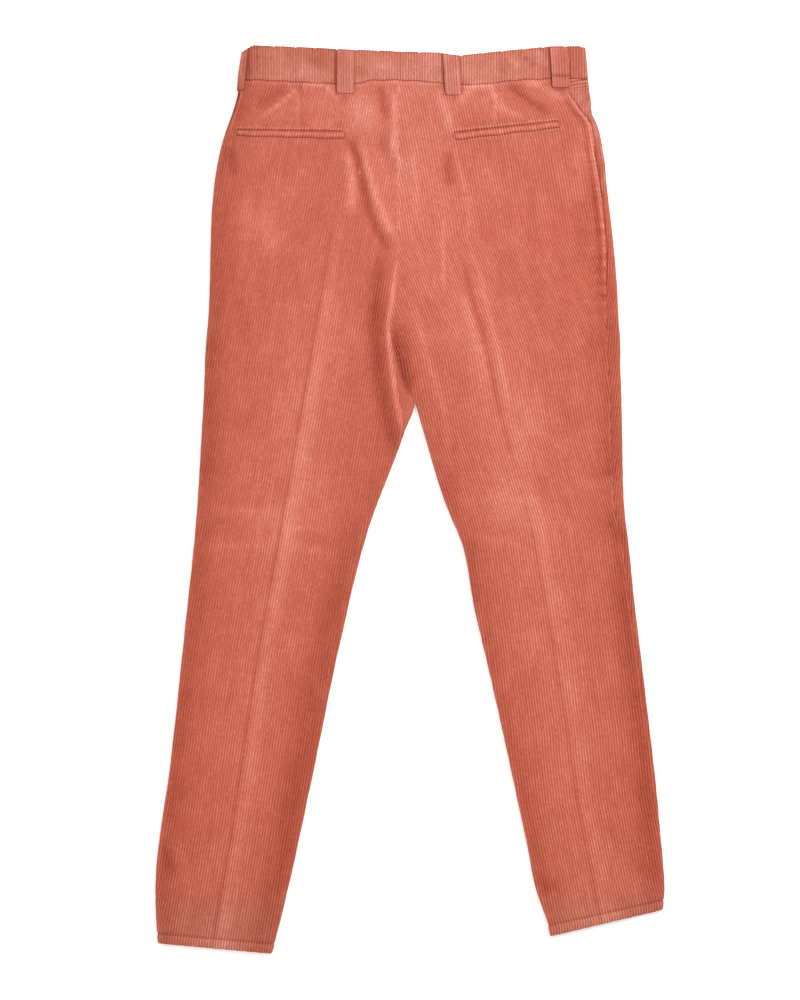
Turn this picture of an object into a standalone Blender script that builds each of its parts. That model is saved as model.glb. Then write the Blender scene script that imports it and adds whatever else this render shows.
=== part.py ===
"""Corduroy dress trousers, laid out flat on a table with the back side up.

Sizes are in millimetres until the meshes are written, in metres.  +X is the wearer's right,
+Y runs up to the waist and +Z is up.  Each side of the trousers is one flattened tube: a Half
holds its rows, which run from the outer edge to the inner edge, and the cloth pieces are
stretches of that tube with a wall, 0.3 mm apart at the seams.
"""
import math

import bmesh
import bpy
import numpy as np

MM = 0.001

# ---- cloth ----
WALL = 1.8                      # cotton corduroy, pile and ground
BAND_WALL = 3.0                 # waistband: two cloths and an interlining
HEM_WALL = 2.3                  # turned-up hem
TAB_WALL = 1.7                  # belt loops and pocket welts, folded and pressed
SEAM_GAP = 0.3                  # between neighbouring pieces
TIGHT_ROUND = 3.1               # at its tip the edge rounds over no tighter than the wall allows
WALE_PITCH = 25.4 / 8           # eight wales to the inch
WALE_HEIGHT = 0.45              # raised on the outer face only
ON_PANEL = WALE_HEIGHT + SEAM_GAP   # clearance of what lies on a panel
QUARTER_TURN = math.pi / 2

# ---- spacing of the mesh columns ----
WALE_STEP = WALE_PITCH / 2      # one column on each wale and one in each groove
INNER_STEP = 12.0               # plain inside of the back panels
FLAT_STEP = 36.0                # flat underside
WELT_STEP = 4 * WALE_PITCH
SEAM_MARGIN = 9.0               # plain strip along a panel's seam
END_STRIP = 2.0                 # narrow strips at a panel's or a belt loop's ends
BAND_STRIP = 3.0                # and at a waistband's or a welt's
TURN_POINTS = 14                # points of the tube's line round each quarter turn
TOP_POINTS = 60                 # and across its upper and its lower face
BASE_POINTS = 40
TANGENT = 0.3                   # half the stretch that a slope is read over

# ---- section of the laid tube at each level y ----
# y: level, top: height of the back's outer face, base: height of the front's outer face,
# top_round and base_round: how far the edge rounds over and under
LAY_COLUMNS = ("y", "top", "base", "top_round", "base_round")
LAY = (
    (-530, 6.8, 0.0, 6.0, 3.4),
    (-440, 6.2, 0.0, 8.0, 3.0),
    (0, 6.2, 0.0, 8.0, 3.0),
    (110, 6.8, 0.0, 8.0, 3.0),
    (300, 7.2, 0.0, 8.0, 3.0),
    (400, 7.3, 0.0, 8.0, 3.0),
    (466, 8.7, 2.1, 4.5, 3.3),
    (485, 9.0, 2.1, 3.45, 3.45),
    (530, 9.0, 2.1, 3.45, 3.45),
)
FORK_OPEN_Y = 270               # the centre seams start to dive towards the fork
FORK_SHUT_Y = 166               # and each leg is a closed tube from here down
LEAD, WRAP = 12.0, 40.0         # how far a closed leg's line goes on round past its two ends

# ---- rows of each side ----
# outer and inner ends of the row, then how far the side seam and the inside leg seam lie
# from those ends on the upper face
ROW_COLUMNS = ("outer_x", "outer_y", "inner_x", "inner_y", "side", "inseam")
LEFT_ROWS = (
    (-193, 518, -13, 518, 0, 0),        # waistband, upper edge
    (-197, 485, -13, 486, 0, 0),        # waist seam
    (-202, 459, -13, 456, 0, 0),
    (-212, 430, -13, 427, 0, 0),        # back pocket, upper edge
    (-215, 422, -13, 416, 0, 0),        # back pocket, lower edge
    (-223, 389, -13, 383, 0, 0),
    (-229, 342, -13, 339, 0, 0),
    (-231, 296, -14, 293, 0, 0),
    (-232, 249, -17, 249, 0, 0),
    (-234, 206, -23, 194, 0, 0),
    (-237, 172, -15, 166, 0, 0),
    (-238, 144, -8, 140, 0, 8),
    (-239, 118, 5, 114, 0, 18),         # apex of the fork
    (-241, 84, -6, 79, 0, 2),
    (-248, -26, -49, -37, 0, 0),        # knee
    (-261, -151, -81, -166, 0, 0),
    (-277, -300, -114, -325, 0, 0),
    (-295, -450, -144, -462, 0, 0),
    (-293, -502, -157, -514, 0, 0),     # hem stitching
    (-292, -513, -160, -525, 0, 0),     # hem
)
RIGHT_ROWS = (
    (203, 524, -13, 518, 32, 0),        # waistband, upper edge
    (206, 487, -13, 486, 32, 0),        # waist seam
    (209, 464, -13, 454, 20, 0),
    (212, 444, -13, 420, 8, 0),         # back pocket, upper edge
    (216, 436, -13, 409, 7, 0),         # back pocket, lower edge
    (224, 400, -13, 380, 10, 0),
    (230, 348, -13, 339, 8, 0),
    (236, 296, -14, 293, 9, 0),
    (240, 249, -17, 249, 13, 0),
    (242, 209, -23, 194, 15, 0),
    (244, 180, -15, 166, 16, 0),
    (244, 153, -8, 140, 15, 0),
    (245, 128, 5, 114, 13, 0),          # apex of the fork
    (246, 87, 15, 81, 14, 0),
    (249, -14, 43, -9, 12, 0),          # knee
    (254, -56, 61, -53, 8, 0),
    (260, -116, 73, -118, 6, 0),
    (269, -191, 92, -200, 5, 0),
    (291, -394, 137, -406, 0, 0),
    (295, -450, 148, -458, 0, 0),
    (294, -463, 160, -493, 0, 0),       # hem stitching
    (293, -474, 162, -505, 0, 0),       # hem
)
BAND_TOP, WAIST, POCKET_TOP, POCKET_LOW, POCKET_FOOT = 0, 1, 3, 4, 6

# press creases, which the wales follow, from the waist to the hem
LEFT_CREASE = ((-49, 520), (-56, 485), (-86, 325), (-124, 104), (-149, -39), (-175, -183),
               (-203, -375), (-227, -515))
RIGHT_CREASE = ((10, 520), (18, 485), (53, 304), (95, 171), (113, 81), (144, -39), (164, -151),
                (184, -267), (196, -350), (223, -484))
CREASE_HEIGHT = 1.3
CREASE_WIDTH = 6.0
CREASE_STARTS_Y, CREASE_FULL_Y = 330, 150

# ---- largest folds of the back: start, middle and end, then half width and height ----
FOLDS = (
    (-74, 424, -56, 368, -22, 296, 9, -2.4),      # from the left pocket to the centre seam
    (-50, 356, -33, 326, -16, 298, 9, 0.6),
    (-46, 478, -38, 450, -30, 422, 9, -1.0),
    (-29, 273, -45, 215, -43, 170, 11, -1.9),     # under the left seat
    (-43, 170, -38, 128, -20, 92, 10, -1.9),
    (38, 333, 40, 300, 43, 270, 8, 0.6),          # under the right pocket
    (54, 345, 56, 303, 62, 255, 11, -1.4),
    (14, 262, 22, 226, 26, 180, 10, -1.2),
    (-238, -24, -190, -50, -120, -44, 11, -1.2),  # knees
    (36, -15, 80, -40, 142, -52, 11, -1.3),
    (172, 18, 210, 6, 252, -18, 10, -1.2),
    (-280, -416, -273, -430, -266, -443, 7, -0.9),
    (134, 468, 147, 453, 158, 442, 6, -0.9),
    (-128, 496, -130, 465, -132, 430, 1.8, -0.9),   # left dart
    (98, 496, 98, 465, 98, 431, 1.8, -0.9),         # right dart
)

# ---- upper edge of the waistband: how far it rises over the straight row ----
BAND_RISE = ((-193, 2), (-182, 7), (-128, 5), (-70, 2), (-13, 0), (37, -3), (54, -7),
             (104, -3), (164, 1), (203, 0))

# ---- front pockets: arc from the outer edge's tip to the slanted mouth, row by row ----
MOUTH = {"left": (36, 34, 29, 24, 22, 13, 1.4), "right": (36, 34, 29, 24, 22, 11, -7.0)}
MOUTH_STATIONS = (5.25, 5.5, 5.75)
MOUTH_SET_BACK = 0.6            # the facing lies this much under the mouth
MOUTH_STEP = (7.0, 5.0)         # from 7 mm in front of it, over 5 mm

# ---- back pocket welts: where they start and end from the outer edge, above and below ----
WELTS = {"left": ((10, 135), (14, 139)), "right": ((41, 163), (43, 164))}

# ---- belt loops ----
LOOP_TOP, LOOP_FOOT = 0.02, 1.48     # between the rows of the waistband and the row under it
LOOP_RISE = 1.4                      # room for the belt
LOOP_ROUND_EDGE = 2.5                # the left side loop sits this much towards the front
LOOP_PARTS = 4                       # rows of faces down each loop
# side, face, middle of the loop from the outer edge above and below, width
LOOPS = {
    "belt_loop_back_left": ("left", "back", 118, 124, 20),
    "belt_loop_back_right": ("right", "back", 156, 157, 19),
    "belt_loop_side_left": ("left", "edge", 0, 0, 21),
    "belt_loop_side_right": ("right", "back", 31, 32, 21),
    "belt_loop_front_left": ("left", "front", 96, 96, 21),
    "belt_loop_front_right": ("right", "front", 110, 110, 21),
}

CORAL = (0.62, 0.175, 0.125, 1.0)
CORAL_BAND = (0.60, 0.185, 0.135, 1.0)


def column(table, names, name):
    """One named column of a table."""
    return np.array([row[names.index(name)] for row in table], dtype=float)


def level(name, y):
    """A size of the laid section at level y."""
    return np.interp(y, column(LAY, LAY_COLUMNS, "y"), column(LAY, LAY_COLUMNS, name))


def smooth(t):
    t = np.clip(t, 0.0, 1.0)
    return t * t * (3.0 - 2.0 * t)


def folds(x, y):
    """Height of all the folds at points of the back."""
    total = np.zeros_like(x)
    for x0, y0, x1, y1, x2, y2, width, height in FOLDS:
        best = np.full_like(x, 1e9)
        along = np.zeros_like(x)
        for (ax, ay), (bx, by), start in (((x0, y0), (x1, y1), 0.0), ((x1, y1), (x2, y2), 0.5)):
            dx, dy = bx - ax, by - ay
            share = np.clip(((x - ax) * dx + (y - ay) * dy) / (dx * dx + dy * dy), 0.0, 1.0)
            distance = np.hypot(x - ax - share * dx, y - ay - share * dy)
            along = np.where(distance < best, start + share / 2, along)
            best = np.minimum(best, distance)
        ends = smooth(along * 4) * smooth((1 - along) * 4)
        total += height * ends * np.exp(-(best / width) ** 2)
    return total


class Half:
    """One side of the trousers: rows across a flattened tube, from waist to hem."""

    def __init__(self, rows, crease):
        self.rows = np.array(rows, dtype=float)
        points = np.array(sorted(crease, key=lambda point: point[1]), dtype=float)
        self.crease_x, self.crease_y = points.T
        self.traces = {}

    def last(self):
        return len(self.rows) - 1

    def row(self, s):
        """The row at station s, between the rows of the table, by column name."""
        low = min(int(s), self.last() - 1)
        values = self.rows[low] + (self.rows[low + 1] - self.rows[low]) * (s - low)
        return dict(zip(ROW_COLUMNS, values))

    def after(self, s, distance):
        """The station a distance further down the garment, measured at the outer edge."""
        low = min(int(s), self.last() - 1)
        step = self.rows[low + 1, :2] - self.rows[low, :2]
        return s + distance / np.hypot(*step)

    def trace(self, s):
        """The outer line of the cloth round row s, and the places that the pieces need."""
        if s in self.traces:
            return self.traces[s]
        row = self.row(s)
        outer = np.array((row["outer_x"], row["outer_y"]))
        inner = np.array((row["inner_x"], row["inner_y"]))
        shut = np.interp(inner[1], (FORK_SHUT_Y, FORK_OPEN_Y), (1.0, 0.0))
        width = np.hypot(*(inner - outer))
        along = (inner - outer) / width
        width -= shut * SEAM_GAP * 0.7

        def place(distance):
            """Point of the row on the table; the waistband's upper edge isn't quite straight."""
            x, y = (outer[axis] + along[axis] * distance for axis in (0, 1))
            rise = np.interp(x, *np.array(BAND_RISE, dtype=float).T)
            return x, y + max(0.0, WAIST - s) * rise

        over = level("top_round", row["outer_y"])
        under = level("base_round", row["outer_y"])
        middle = level("base", row["outer_y"]) + under
        turn = np.linspace(0, QUARTER_TURN, TURN_POINTS)
        # where the centre seam cuts the round before it is a quarter turn deep
        cut = math.asin(1 - shut)
        in_turn = np.linspace(cut, QUARTER_TURN, TURN_POINTS)

        def upper(distance, out_turn, in_turn):
            """Height of the back's face, rounding down by the turns at its two ends."""
            x, y = place(distance)
            ends = np.sin(out_turn) * np.sin(in_turn)
            top = level("top", y) - middle
            return middle + top * (np.sin(out_turn) + np.sin(in_turn) - 1) + self.relief(x, y) * ends

        def lower(distance, out_turn, in_turn):
            """Height of the front's face, rounding up at its ends."""
            base = middle - level("base", place(distance)[1])
            return middle - base * (np.sin(out_turn) + np.sin(in_turn) - 1)

        def round_over(angle):
            bend = 1 - np.cos(angle)
            return TIGHT_ROUND * bend + (over - TIGHT_ROUND) * bend ** 2

        def round_under(angle):
            return under * (1 - np.cos(angle))

        rounds_in = width - round_over(in_turn) + round_over(cut)
        rounds_out = round_over(turn[::-1])
        across = np.linspace(rounds_in[-1], rounds_out[0], TOP_POINTS)[1:-1]
        top_x = np.concatenate((rounds_in, across, rounds_out))
        top_z = np.concatenate((
            upper(rounds_in, QUARTER_TURN, in_turn), upper(across, QUARTER_TURN, QUARTER_TURN),
            upper(rounds_out, turn[::-1], QUARTER_TURN)))

        under_out = round_under(turn[1:])
        under_in = width - round_under(in_turn[::-1]) + round_under(cut)
        flat = np.linspace(under_out[-1], under_in[0], BASE_POINTS)[1:-1]
        base_x = np.concatenate((under_out, flat, under_in))
        base_z = np.concatenate((
            lower(under_out, turn[1:], QUARTER_TURN), lower(flat, QUARTER_TURN, QUARTER_TURN),
            lower(under_in, QUARTER_TURN, in_turn[::-1])))

        # a closed leg goes on round past both ends of the line
        lead = (base_x > width - LEAD) & (shut == 1)
        wrap = (top_x < width) & (top_x > width - WRAP) & (shut == 1)
        x = np.concatenate((base_x[lead], top_x, base_x, top_x[wrap]))
        z = np.concatenate((base_z[lead], top_z, base_z, top_z[wrap]))
        arc = np.concatenate(((0.0,), np.cumsum(np.hypot(np.diff(x), np.diff(z)))))
        start = int(np.sum(lead))
        arc -= arc[start]
        turn_back, end = start + len(top_x), start + len(top_x) + len(base_x)
        parts = {
            "top": (top_x[::-1], arc[start:turn_back][::-1]),
            "base": (base_x, arc[turn_back:end]),
            "wrap": (width - top_x[wrap], arc[end:]),
        }
        trace = {"row": row, "place": place, "x": x, "z": z, "arc": arc, "parts": parts,
                 "width": width, "over": over, "under": under, "end": arc[end - 1],
                 "crease": self.crease_distance(row)}
        self.traces[s] = trace
        return trace

    def crease_distance(self, row):
        """Distance of the press crease from the outer end of a row."""
        y = row["outer_y"]
        for _ in range(8):
            x = np.interp(y, self.crease_y, self.crease_x)
            share = (x - row["outer_x"]) / (row["inner_x"] - row["outer_x"])
            y = row["outer_y"] + share * (row["inner_y"] - row["outer_y"])
        width = math.hypot(row["inner_x"] - row["outer_x"], row["inner_y"] - row["outer_y"])
        return share * width

    def relief(self, x, y):
        """Folds and the press crease of the back."""
        away = np.abs(x - np.interp(y, self.crease_y, self.crease_x))
        strength = smooth((CREASE_STARTS_Y - y) / (CREASE_STARTS_Y - CREASE_FULL_Y))
        return folds(x, y) + CREASE_HEIGHT * strength * np.exp(-away / CREASE_WIDTH)


def position(trace, part, distance):
    """Arc position of a distance from the outer edge, on the top, the base or the wrap."""
    x, arc = trace["parts"][part]
    return float(np.interp(distance, x, arc))


def sample(trace, arcs, offset, slopes_at=None):
    """Points of the row at arc positions, moved out by an offset along the outward normal."""
    arcs = np.asarray(arcs, dtype=float)
    at = arcs if slopes_at is None else slopes_at
    x = np.interp(arcs, trace["arc"], trace["x"])
    z = np.interp(arcs, trace["arc"], trace["z"])
    dx, dz = (np.interp(at + TANGENT, trace["arc"], trace[axis])
              - np.interp(at - TANGENT, trace["arc"], trace[axis]) for axis in "xz")
    length = np.maximum(np.hypot(dx, dz), 1e-9)
    x = x + offset * dz / length
    z = z - offset * dx / length
    px, py = trace["place"](x)
    return np.stack((px, py, z), axis=1)


CLEAR = 0.4                     # share of a step that open columns keep from their zone's ends
ZONE_KEYS, OPEN_KEYS, FIXED_KEYS = 1e5, 2e4, 4e4    # keys of a zone, of its open and fixed columns


def columns(breaks, zones, origin, step):
    """Arc positions of a row's columns and the keys that join them to the next row.

    The breaks part the row into zones.  A zone has a fixed number of steps, or, where that
    number is 0, a column on each multiple of the step from the origin.  Keys rise along the
    row, and columns with the same key are joined.
    """
    arcs, keys, raised = [breaks[0]], [0.0], [0]
    for zone, (start, stop, count) in enumerate(zip(breaks, breaks[1:], zones)):
        if count == 0:
            first = math.ceil((start - origin) / step + CLEAR)
            for k in range(first, math.floor((stop - origin) / step - CLEAR) + 1):
                arcs.append(origin + k * step)
                keys.append(zone * ZONE_KEYS + OPEN_KEYS + k * step)
                raised.append(k % 2 == 0)
            count = 1
            start = stop
        for n in range(1, count + 1):
            arcs.append(start + (stop - start) * n / count)
            keys.append(zone * ZONE_KEYS + FIXED_KEYS + n)
            raised.append(0)
    return np.array(arcs), keys, np.array(raised, dtype=float)


def join(faces, lower, upper):
    """Triangles between two rows of (key, vertex), matched by key."""
    i = j = 0
    while i < len(lower) - 1 or j < len(upper) - 1:
        a = lower[i + 1][0] if i < len(lower) - 1 else math.inf
        b = upper[j + 1][0] if j < len(upper) - 1 else math.inf
        if a <= b:
            faces.append((lower[i][1], lower[i + 1][1], upper[j][1]))
            i += 1
        if b <= a:
            faces.append((lower[i][1], upper[j + 1][1], upper[j][1]))
            j += 1


def close_rim(faces, rows, end):
    """Triangles along one end of the rows, first (0) or last (-1), between the two faces."""
    for (out, inn), (next_out, next_inn) in zip(rows, rows[1:]):
        a, b, c, d = out[end][1], next_out[end][1], next_inn[end][1], inn[end][1]
        pair = [(a, b, c), (a, c, d)]
        faces.extend(pair if end == 0 else [face[::-1] for face in pair])


def make_sheet(name, half, stations, reach, zones, steps, origin, outside, inside, colour,
               wales=None):
    """One closed piece of cloth: an outer face, a plain inner face and the rims that join them.

    reach(station, trace) gives the breaks of the piece's zones in a row, as arcs, and steps
    the spacing of the columns in its open zones, outside and inside.  outside and inside
    give the offsets of its faces from the tube, as functions of (station, arcs, trace), and
    wales(trace, arcs) says where the wales are raised.
    """
    points, faces = [], []
    skins = {"out": [], "in": []}
    for s in stations:
        trace = half.trace(s)
        breaks = reach(s, trace)
        for skin, step in zip(skins, steps):
            arcs, keys, raised = columns(breaks, zones, origin(trace), step)
            face = outside if skin == "out" else inside
            offset = face(s, arcs, trace)
            if skin == "out" and wales is not None:
                offset = offset + WALE_HEIGHT * raised * wales(trace, arcs)
            slopes = arcs.copy()
            slopes[0] -= SEAM_GAP / 2
            slopes[-1] += SEAM_GAP / 2
            first = len(points)
            points.extend(sample(trace, arcs, offset, slopes))
            skins[skin].append([(key, first + n) for n, key in enumerate(keys)])
    for lower, upper in zip(skins["out"], skins["out"][1:]):
        join(faces, lower, upper)
    for lower, upper in zip(skins["in"], skins["in"][1:]):
        join(faces, upper, lower)
    join(faces, skins["in"][0], skins["out"][0])
    join(faces, skins["out"][-1], skins["in"][-1])
    rows = list(zip(skins["out"], skins["in"]))
    close_rim(faces, rows, 0)
    close_rim(faces, rows, -1)
    return make_object(name, points, faces, colour)


def make_object(name, points, faces, colour):
    mesh = bpy.data.meshes.new(name)
    mesh.from_pydata([tuple(float(v) * MM for v in point) for point in points], [], faces)
    form = bmesh.new()
    form.from_mesh(mesh)
    if form.calc_volume(signed=True) < 0:
        bmesh.ops.reverse_faces(form, faces=form.faces)
    form.to_mesh(mesh)
    form.free()
    mesh.materials.append(cloth_material(name, colour))
    piece = bpy.data.objects.new(name, mesh)
    bpy.context.scene.collection.objects.link(piece)
    return piece


def cloth_material(name, colour):
    material = bpy.data.materials.new(name + "_cotton_corduroy")
    material.use_nodes = True
    shader = material.node_tree.nodes["Principled BSDF"]
    shader.inputs["Base Color"].default_value = colour
    shader.inputs["Roughness"].default_value = 0.9
    shader.inputs["Metallic"].default_value = 0.0
    return material


def constant(value):
    """An offset from the tube that is the same all over."""
    return lambda s, arcs, trace: np.full(len(arcs), float(value))


def panel_wall(half):
    """Inner face of a panel, thicker at the turned-up hem."""
    hem = half.last() - 1
    return lambda s, arcs, trace: np.full(len(arcs), -(HEM_WALL if s >= hem else WALL))


def top_crease(trace):
    return position(trace, "top", trace["crease"])


def base_crease(trace):
    return position(trace, "base", trace["crease"])


def edge_bend(trace):
    """Arcs where the outer edge starts to round over and has rounded under."""
    return position(trace, "top", trace["over"]), position(trace, "base", trace["under"])


def on_top(trace, arcs):
    """1 where the arcs lie on the upper face, clear of its rounded edges."""
    end = position(trace, "top", trace["over"])
    return (arcs < end).astype(float)


def panel_stations(half):
    """The rows of a panel: 0.3 mm under the waistband, then every row down to the hem."""
    return [half.after(WAIST, SEAM_GAP)] + list(range(WAIST + 1, half.last() + 1))


def make_back(side, half):
    def reach(s, trace):
        row = trace["row"]
        a0 = position(trace, "top", trace["width"] - row["inseam"]) + SEAM_GAP / 2
        a1 = position(trace, "top", row["side"]) - SEAM_GAP / 2
        bend = position(trace, "top", trace["over"])
        return a0, a0 + SEAM_MARGIN, min(bend, a1 - END_STRIP), a1

    return make_sheet("back_" + side, half, panel_stations(half), reach, (3, 0, 3),
                      (WALE_STEP, INNER_STEP), top_crease, constant(0), panel_wall(half), CORAL,
                      on_top)


def edge_position(trace, distance):
    """Arc position measured round the cloth from the tip of the outer edge, under it if positive."""
    return position(trace, "top", 0) + distance


def mouth_position(side, s, trace):
    """Arc position of a front pocket's slanted mouth."""
    table = MOUTH[side]
    return edge_position(trace, float(np.interp(s, range(len(table)), table)))


def front_stations(half):
    """Panel rows, with more where the pocket's mouth runs round the outer edge."""
    return sorted(panel_stations(half) + list(MOUTH_STATIONS))


def make_front(side, half):
    def reach(s, trace):
        row = trace["row"]
        a0 = position(trace, "top", row["side"]) + SEAM_GAP / 2
        if s <= POCKET_FOOT:
            a0 = mouth_position(side, s, trace) + SEAM_GAP / 2
        a1 = trace["end"] - SEAM_GAP / 2
        if row["inseam"] > 0:
            a1 = position(trace, "wrap", row["inseam"]) - SEAM_GAP / 2
        b0 = max(position(trace, "base", trace["under"]), a0 + END_STRIP)
        b1 = position(trace, "base", trace["width"] - trace["under"] - 1)
        return a0, b0, b1, a1

    return make_sheet("front_" + side, half, front_stations(half), reach, (7, 0, 5),
                      (FLAT_STEP, FLAT_STEP), base_crease, constant(0), panel_wall(half), CORAL)


def make_facing(side, half):
    """The cloth behind the slanted mouth of a front pocket, sewn to the side seam."""
    def reach(s, trace):
        a0 = position(trace, "top", trace["row"]["side"]) + SEAM_GAP / 2
        a1 = mouth_position(side, s, trace) - SEAM_GAP / 2
        tenth = (a1 - a0) / 10
        over, under = edge_bend(trace)
        b0 = min(max(over, a0 + tenth), a0 + 6 * tenth)
        b1 = min(max(under, b0 + tenth), a1 - tenth)
        return a0, b0, b1, a1

    def outside(s, arcs, trace):
        mouth = mouth_position(side, s, trace)
        return -MOUTH_SET_BACK * smooth((arcs - mouth + MOUTH_STEP[0]) / MOUTH_STEP[1])

    stations = [s for s in front_stations(half) if s <= POCKET_FOOT]
    return make_sheet("pocket_facing_" + side, half, stations, reach, (2, 5, 2),
                      (FLAT_STEP, FLAT_STEP), base_crease, outside, constant(-WALL), CORAL)


def make_waistband(side, half):
    def reach(s, trace):
        a0, a1 = SEAM_GAP / 2, trace["end"] - SEAM_GAP / 2
        return a0, a0 + BAND_STRIP, *edge_bend(trace), a1 - BAND_STRIP, a1

    return make_sheet("waistband_" + side, half, (BAND_TOP, WAIST), reach, (1, 0, 8, 0, 1),
                      (WALE_STEP, FLAT_STEP), lambda trace: 0.0, constant(0),
                      constant(-BAND_WALL), CORAL_BAND, on_top)


def make_welt(side, half):
    def reach(s, trace):
        near, far = WELTS[side][s - POCKET_TOP]
        a0 = position(trace, "top", far)
        a1 = position(trace, "top", near)
        return a0, a0 + BAND_STRIP, a1 - BAND_STRIP, a1

    return make_sheet("back_pocket_welt_" + side, half, (POCKET_TOP, POCKET_LOW), reach,
                      (1, 0, 1), (WELT_STEP, WELT_STEP), top_crease,
                      constant(ON_PANEL + TAB_WALL), constant(ON_PANEL), CORAL)


def make_loop(name, half, face, above, below, width):
    """A belt loop: tacked above and below the waistband, and standing off it between."""
    def share(s):
        """How far down the loop a station is, from 0 to 1."""
        return (s - LOOP_TOP) / (LOOP_FOOT - LOOP_TOP)

    def reach(s, trace):
        distance = above + (below - above) * share(s)
        centre = position(trace, "base" if face == "front" else "top", distance)
        if face == "edge":
            centre += LOOP_ROUND_EDGE
            return centre - width / 2, *edge_bend(trace), centre + width / 2
        a0, a1 = centre - width / 2, centre + width / 2
        return a0, a0 + END_STRIP, a1 - END_STRIP, a1

    def lift(s, arcs, trace):
        top = on_top(trace, arcs)
        return SEAM_GAP + top * (WALE_HEIGHT + LOOP_RISE * math.sin(math.pi * share(s)))

    def outside(s, arcs, trace):
        return lift(s, arcs, trace) + TAB_WALL

    stations = [LOOP_TOP + (LOOP_FOOT - LOOP_TOP) * n / LOOP_PARTS for n in range(LOOP_PARTS + 1)]
    zones = (1, 8, 2) if face == "edge" else (1, 3, 1)
    return make_sheet(name, half, stations, reach, zones, (FLAT_STEP, FLAT_STEP), top_crease,
                      outside, lift, CORAL_BAND)


def clear_scene():
    """The file's own cube, camera and lamp aren't part of the trousers."""
    for item in list(bpy.data.objects):
        bpy.data.objects.remove(item, do_unlink=True)


def main():
    clear_scene()
    halves = {"left": Half(LEFT_ROWS, LEFT_CREASE), "right": Half(RIGHT_ROWS, RIGHT_CREASE)}
    for side, half in halves.items():
        make_back(side, half)
        make_front(side, half)
        make_facing(side, half)
        make_waistband(side, half)
        make_welt(side, half)
    for name, (side, face, above, below, width) in LOOPS.items():
        make_loop(name, halves[side], face, above, below, width)


main()
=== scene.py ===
"""Corduroy dress trousers, laid out flat with the back side up.

Every cloth piece is a thin closed shell on the form of its solid: a finely ribbed outer face, a
plain inner face and rims that join them.  Sizes are in millimetres until the meshes are made.
"""
import math
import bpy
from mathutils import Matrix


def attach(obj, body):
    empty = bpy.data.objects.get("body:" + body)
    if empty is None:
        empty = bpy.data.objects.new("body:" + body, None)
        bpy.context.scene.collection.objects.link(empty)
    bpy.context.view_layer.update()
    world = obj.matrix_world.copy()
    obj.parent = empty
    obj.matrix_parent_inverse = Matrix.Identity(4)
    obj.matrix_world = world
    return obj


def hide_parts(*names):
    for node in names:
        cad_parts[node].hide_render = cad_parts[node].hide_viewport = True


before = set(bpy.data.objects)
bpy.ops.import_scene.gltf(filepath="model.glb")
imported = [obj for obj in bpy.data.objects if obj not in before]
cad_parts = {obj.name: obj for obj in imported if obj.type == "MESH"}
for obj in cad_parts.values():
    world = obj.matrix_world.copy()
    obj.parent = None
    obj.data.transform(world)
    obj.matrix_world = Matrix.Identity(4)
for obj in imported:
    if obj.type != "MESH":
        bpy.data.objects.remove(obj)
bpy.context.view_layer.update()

from types import SimpleNamespace

import bpy
import numpy as np
from mathutils import Vector

MM = 0.001

# ---- cloth ----
WALL = 1.8                      # cotton corduroy, pile and ground
BAND_WALL = 3.0                 # waistband: two cloths and an interlining
HEM_WALL = 2.3                  # turned-up hem
TAB_WALL = 1.7                  # belt loops and pocket welts, folded and pressed
SEAM_GAP = 0.04                 # between neighbouring pieces
TIGHT_ROUND = 3.1               # at its tip the edge rounds over no tighter than the wall allows
WALE_PITCH = 25.4 / 8           # eight wales to the inch
WALE_HEIGHT = 0.45
ON_PANEL = 0.5                  # clearance of what lies on a panel
TANGENT = 0.3                   # half the stretch that a slope is read over

# ---- spacing of the mesh ----
FINE_STEP = WALE_PITCH / 4      # four columns to a wale
ROW_STEP = 6.0                  # rows of the panels
FACING_STEP = 5.0
WELT_STEP = 0.7
ROW_CLEARANCE = 0.8             # rows of the plain spacing closer than this to an extra one go
END_CLEARANCE = 0.3
ROUND_POINTS = 14               # points round each edge of the tube, over its top and its base
TOP_POINTS, BASE_POINTS = 120, 40
LEAD_LENGTH, WRAP_LENGTH = 12, 40       # how far a closed leg's line runs on past its ends

# ---- section of the laid tube at each level y ----
LAY_COLUMNS = ("y", "top", "base", "top_round", "base_round")
LAY = (
    (-530, 6.8, 0.0, 6.0, 3.4),
    (-440, 6.2, 0.0, 8.0, 3.0),
    (0, 6.2, 0.0, 8.0, 3.0),
    (110, 6.8, 0.0, 8.0, 3.0),
    (300, 7.2, 0.0, 8.0, 3.0),
    (400, 7.3, 0.0, 8.0, 3.0),
    (466, 8.7, 2.1, 4.5, 3.3),
    (485, 9.0, 2.1, 3.45, 3.45),
    (530, 9.0, 2.1, 3.45, 3.45),
)
FORK_OPEN_Y = 270               # the centre seams start to dive towards the fork
FORK_SHUT_Y = 166               # and each leg is a closed tube from here down
FORK_PRESS = 0.6                # the piles of the two legs press into each other at the fork
FORK_LOW_Y, FORK_FADE = 106, 12         # down to this level, and only close to the inner edge
LEG_GAP = 0.7 * SEAM_GAP        # a closed leg keeps this far from the other one

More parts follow.
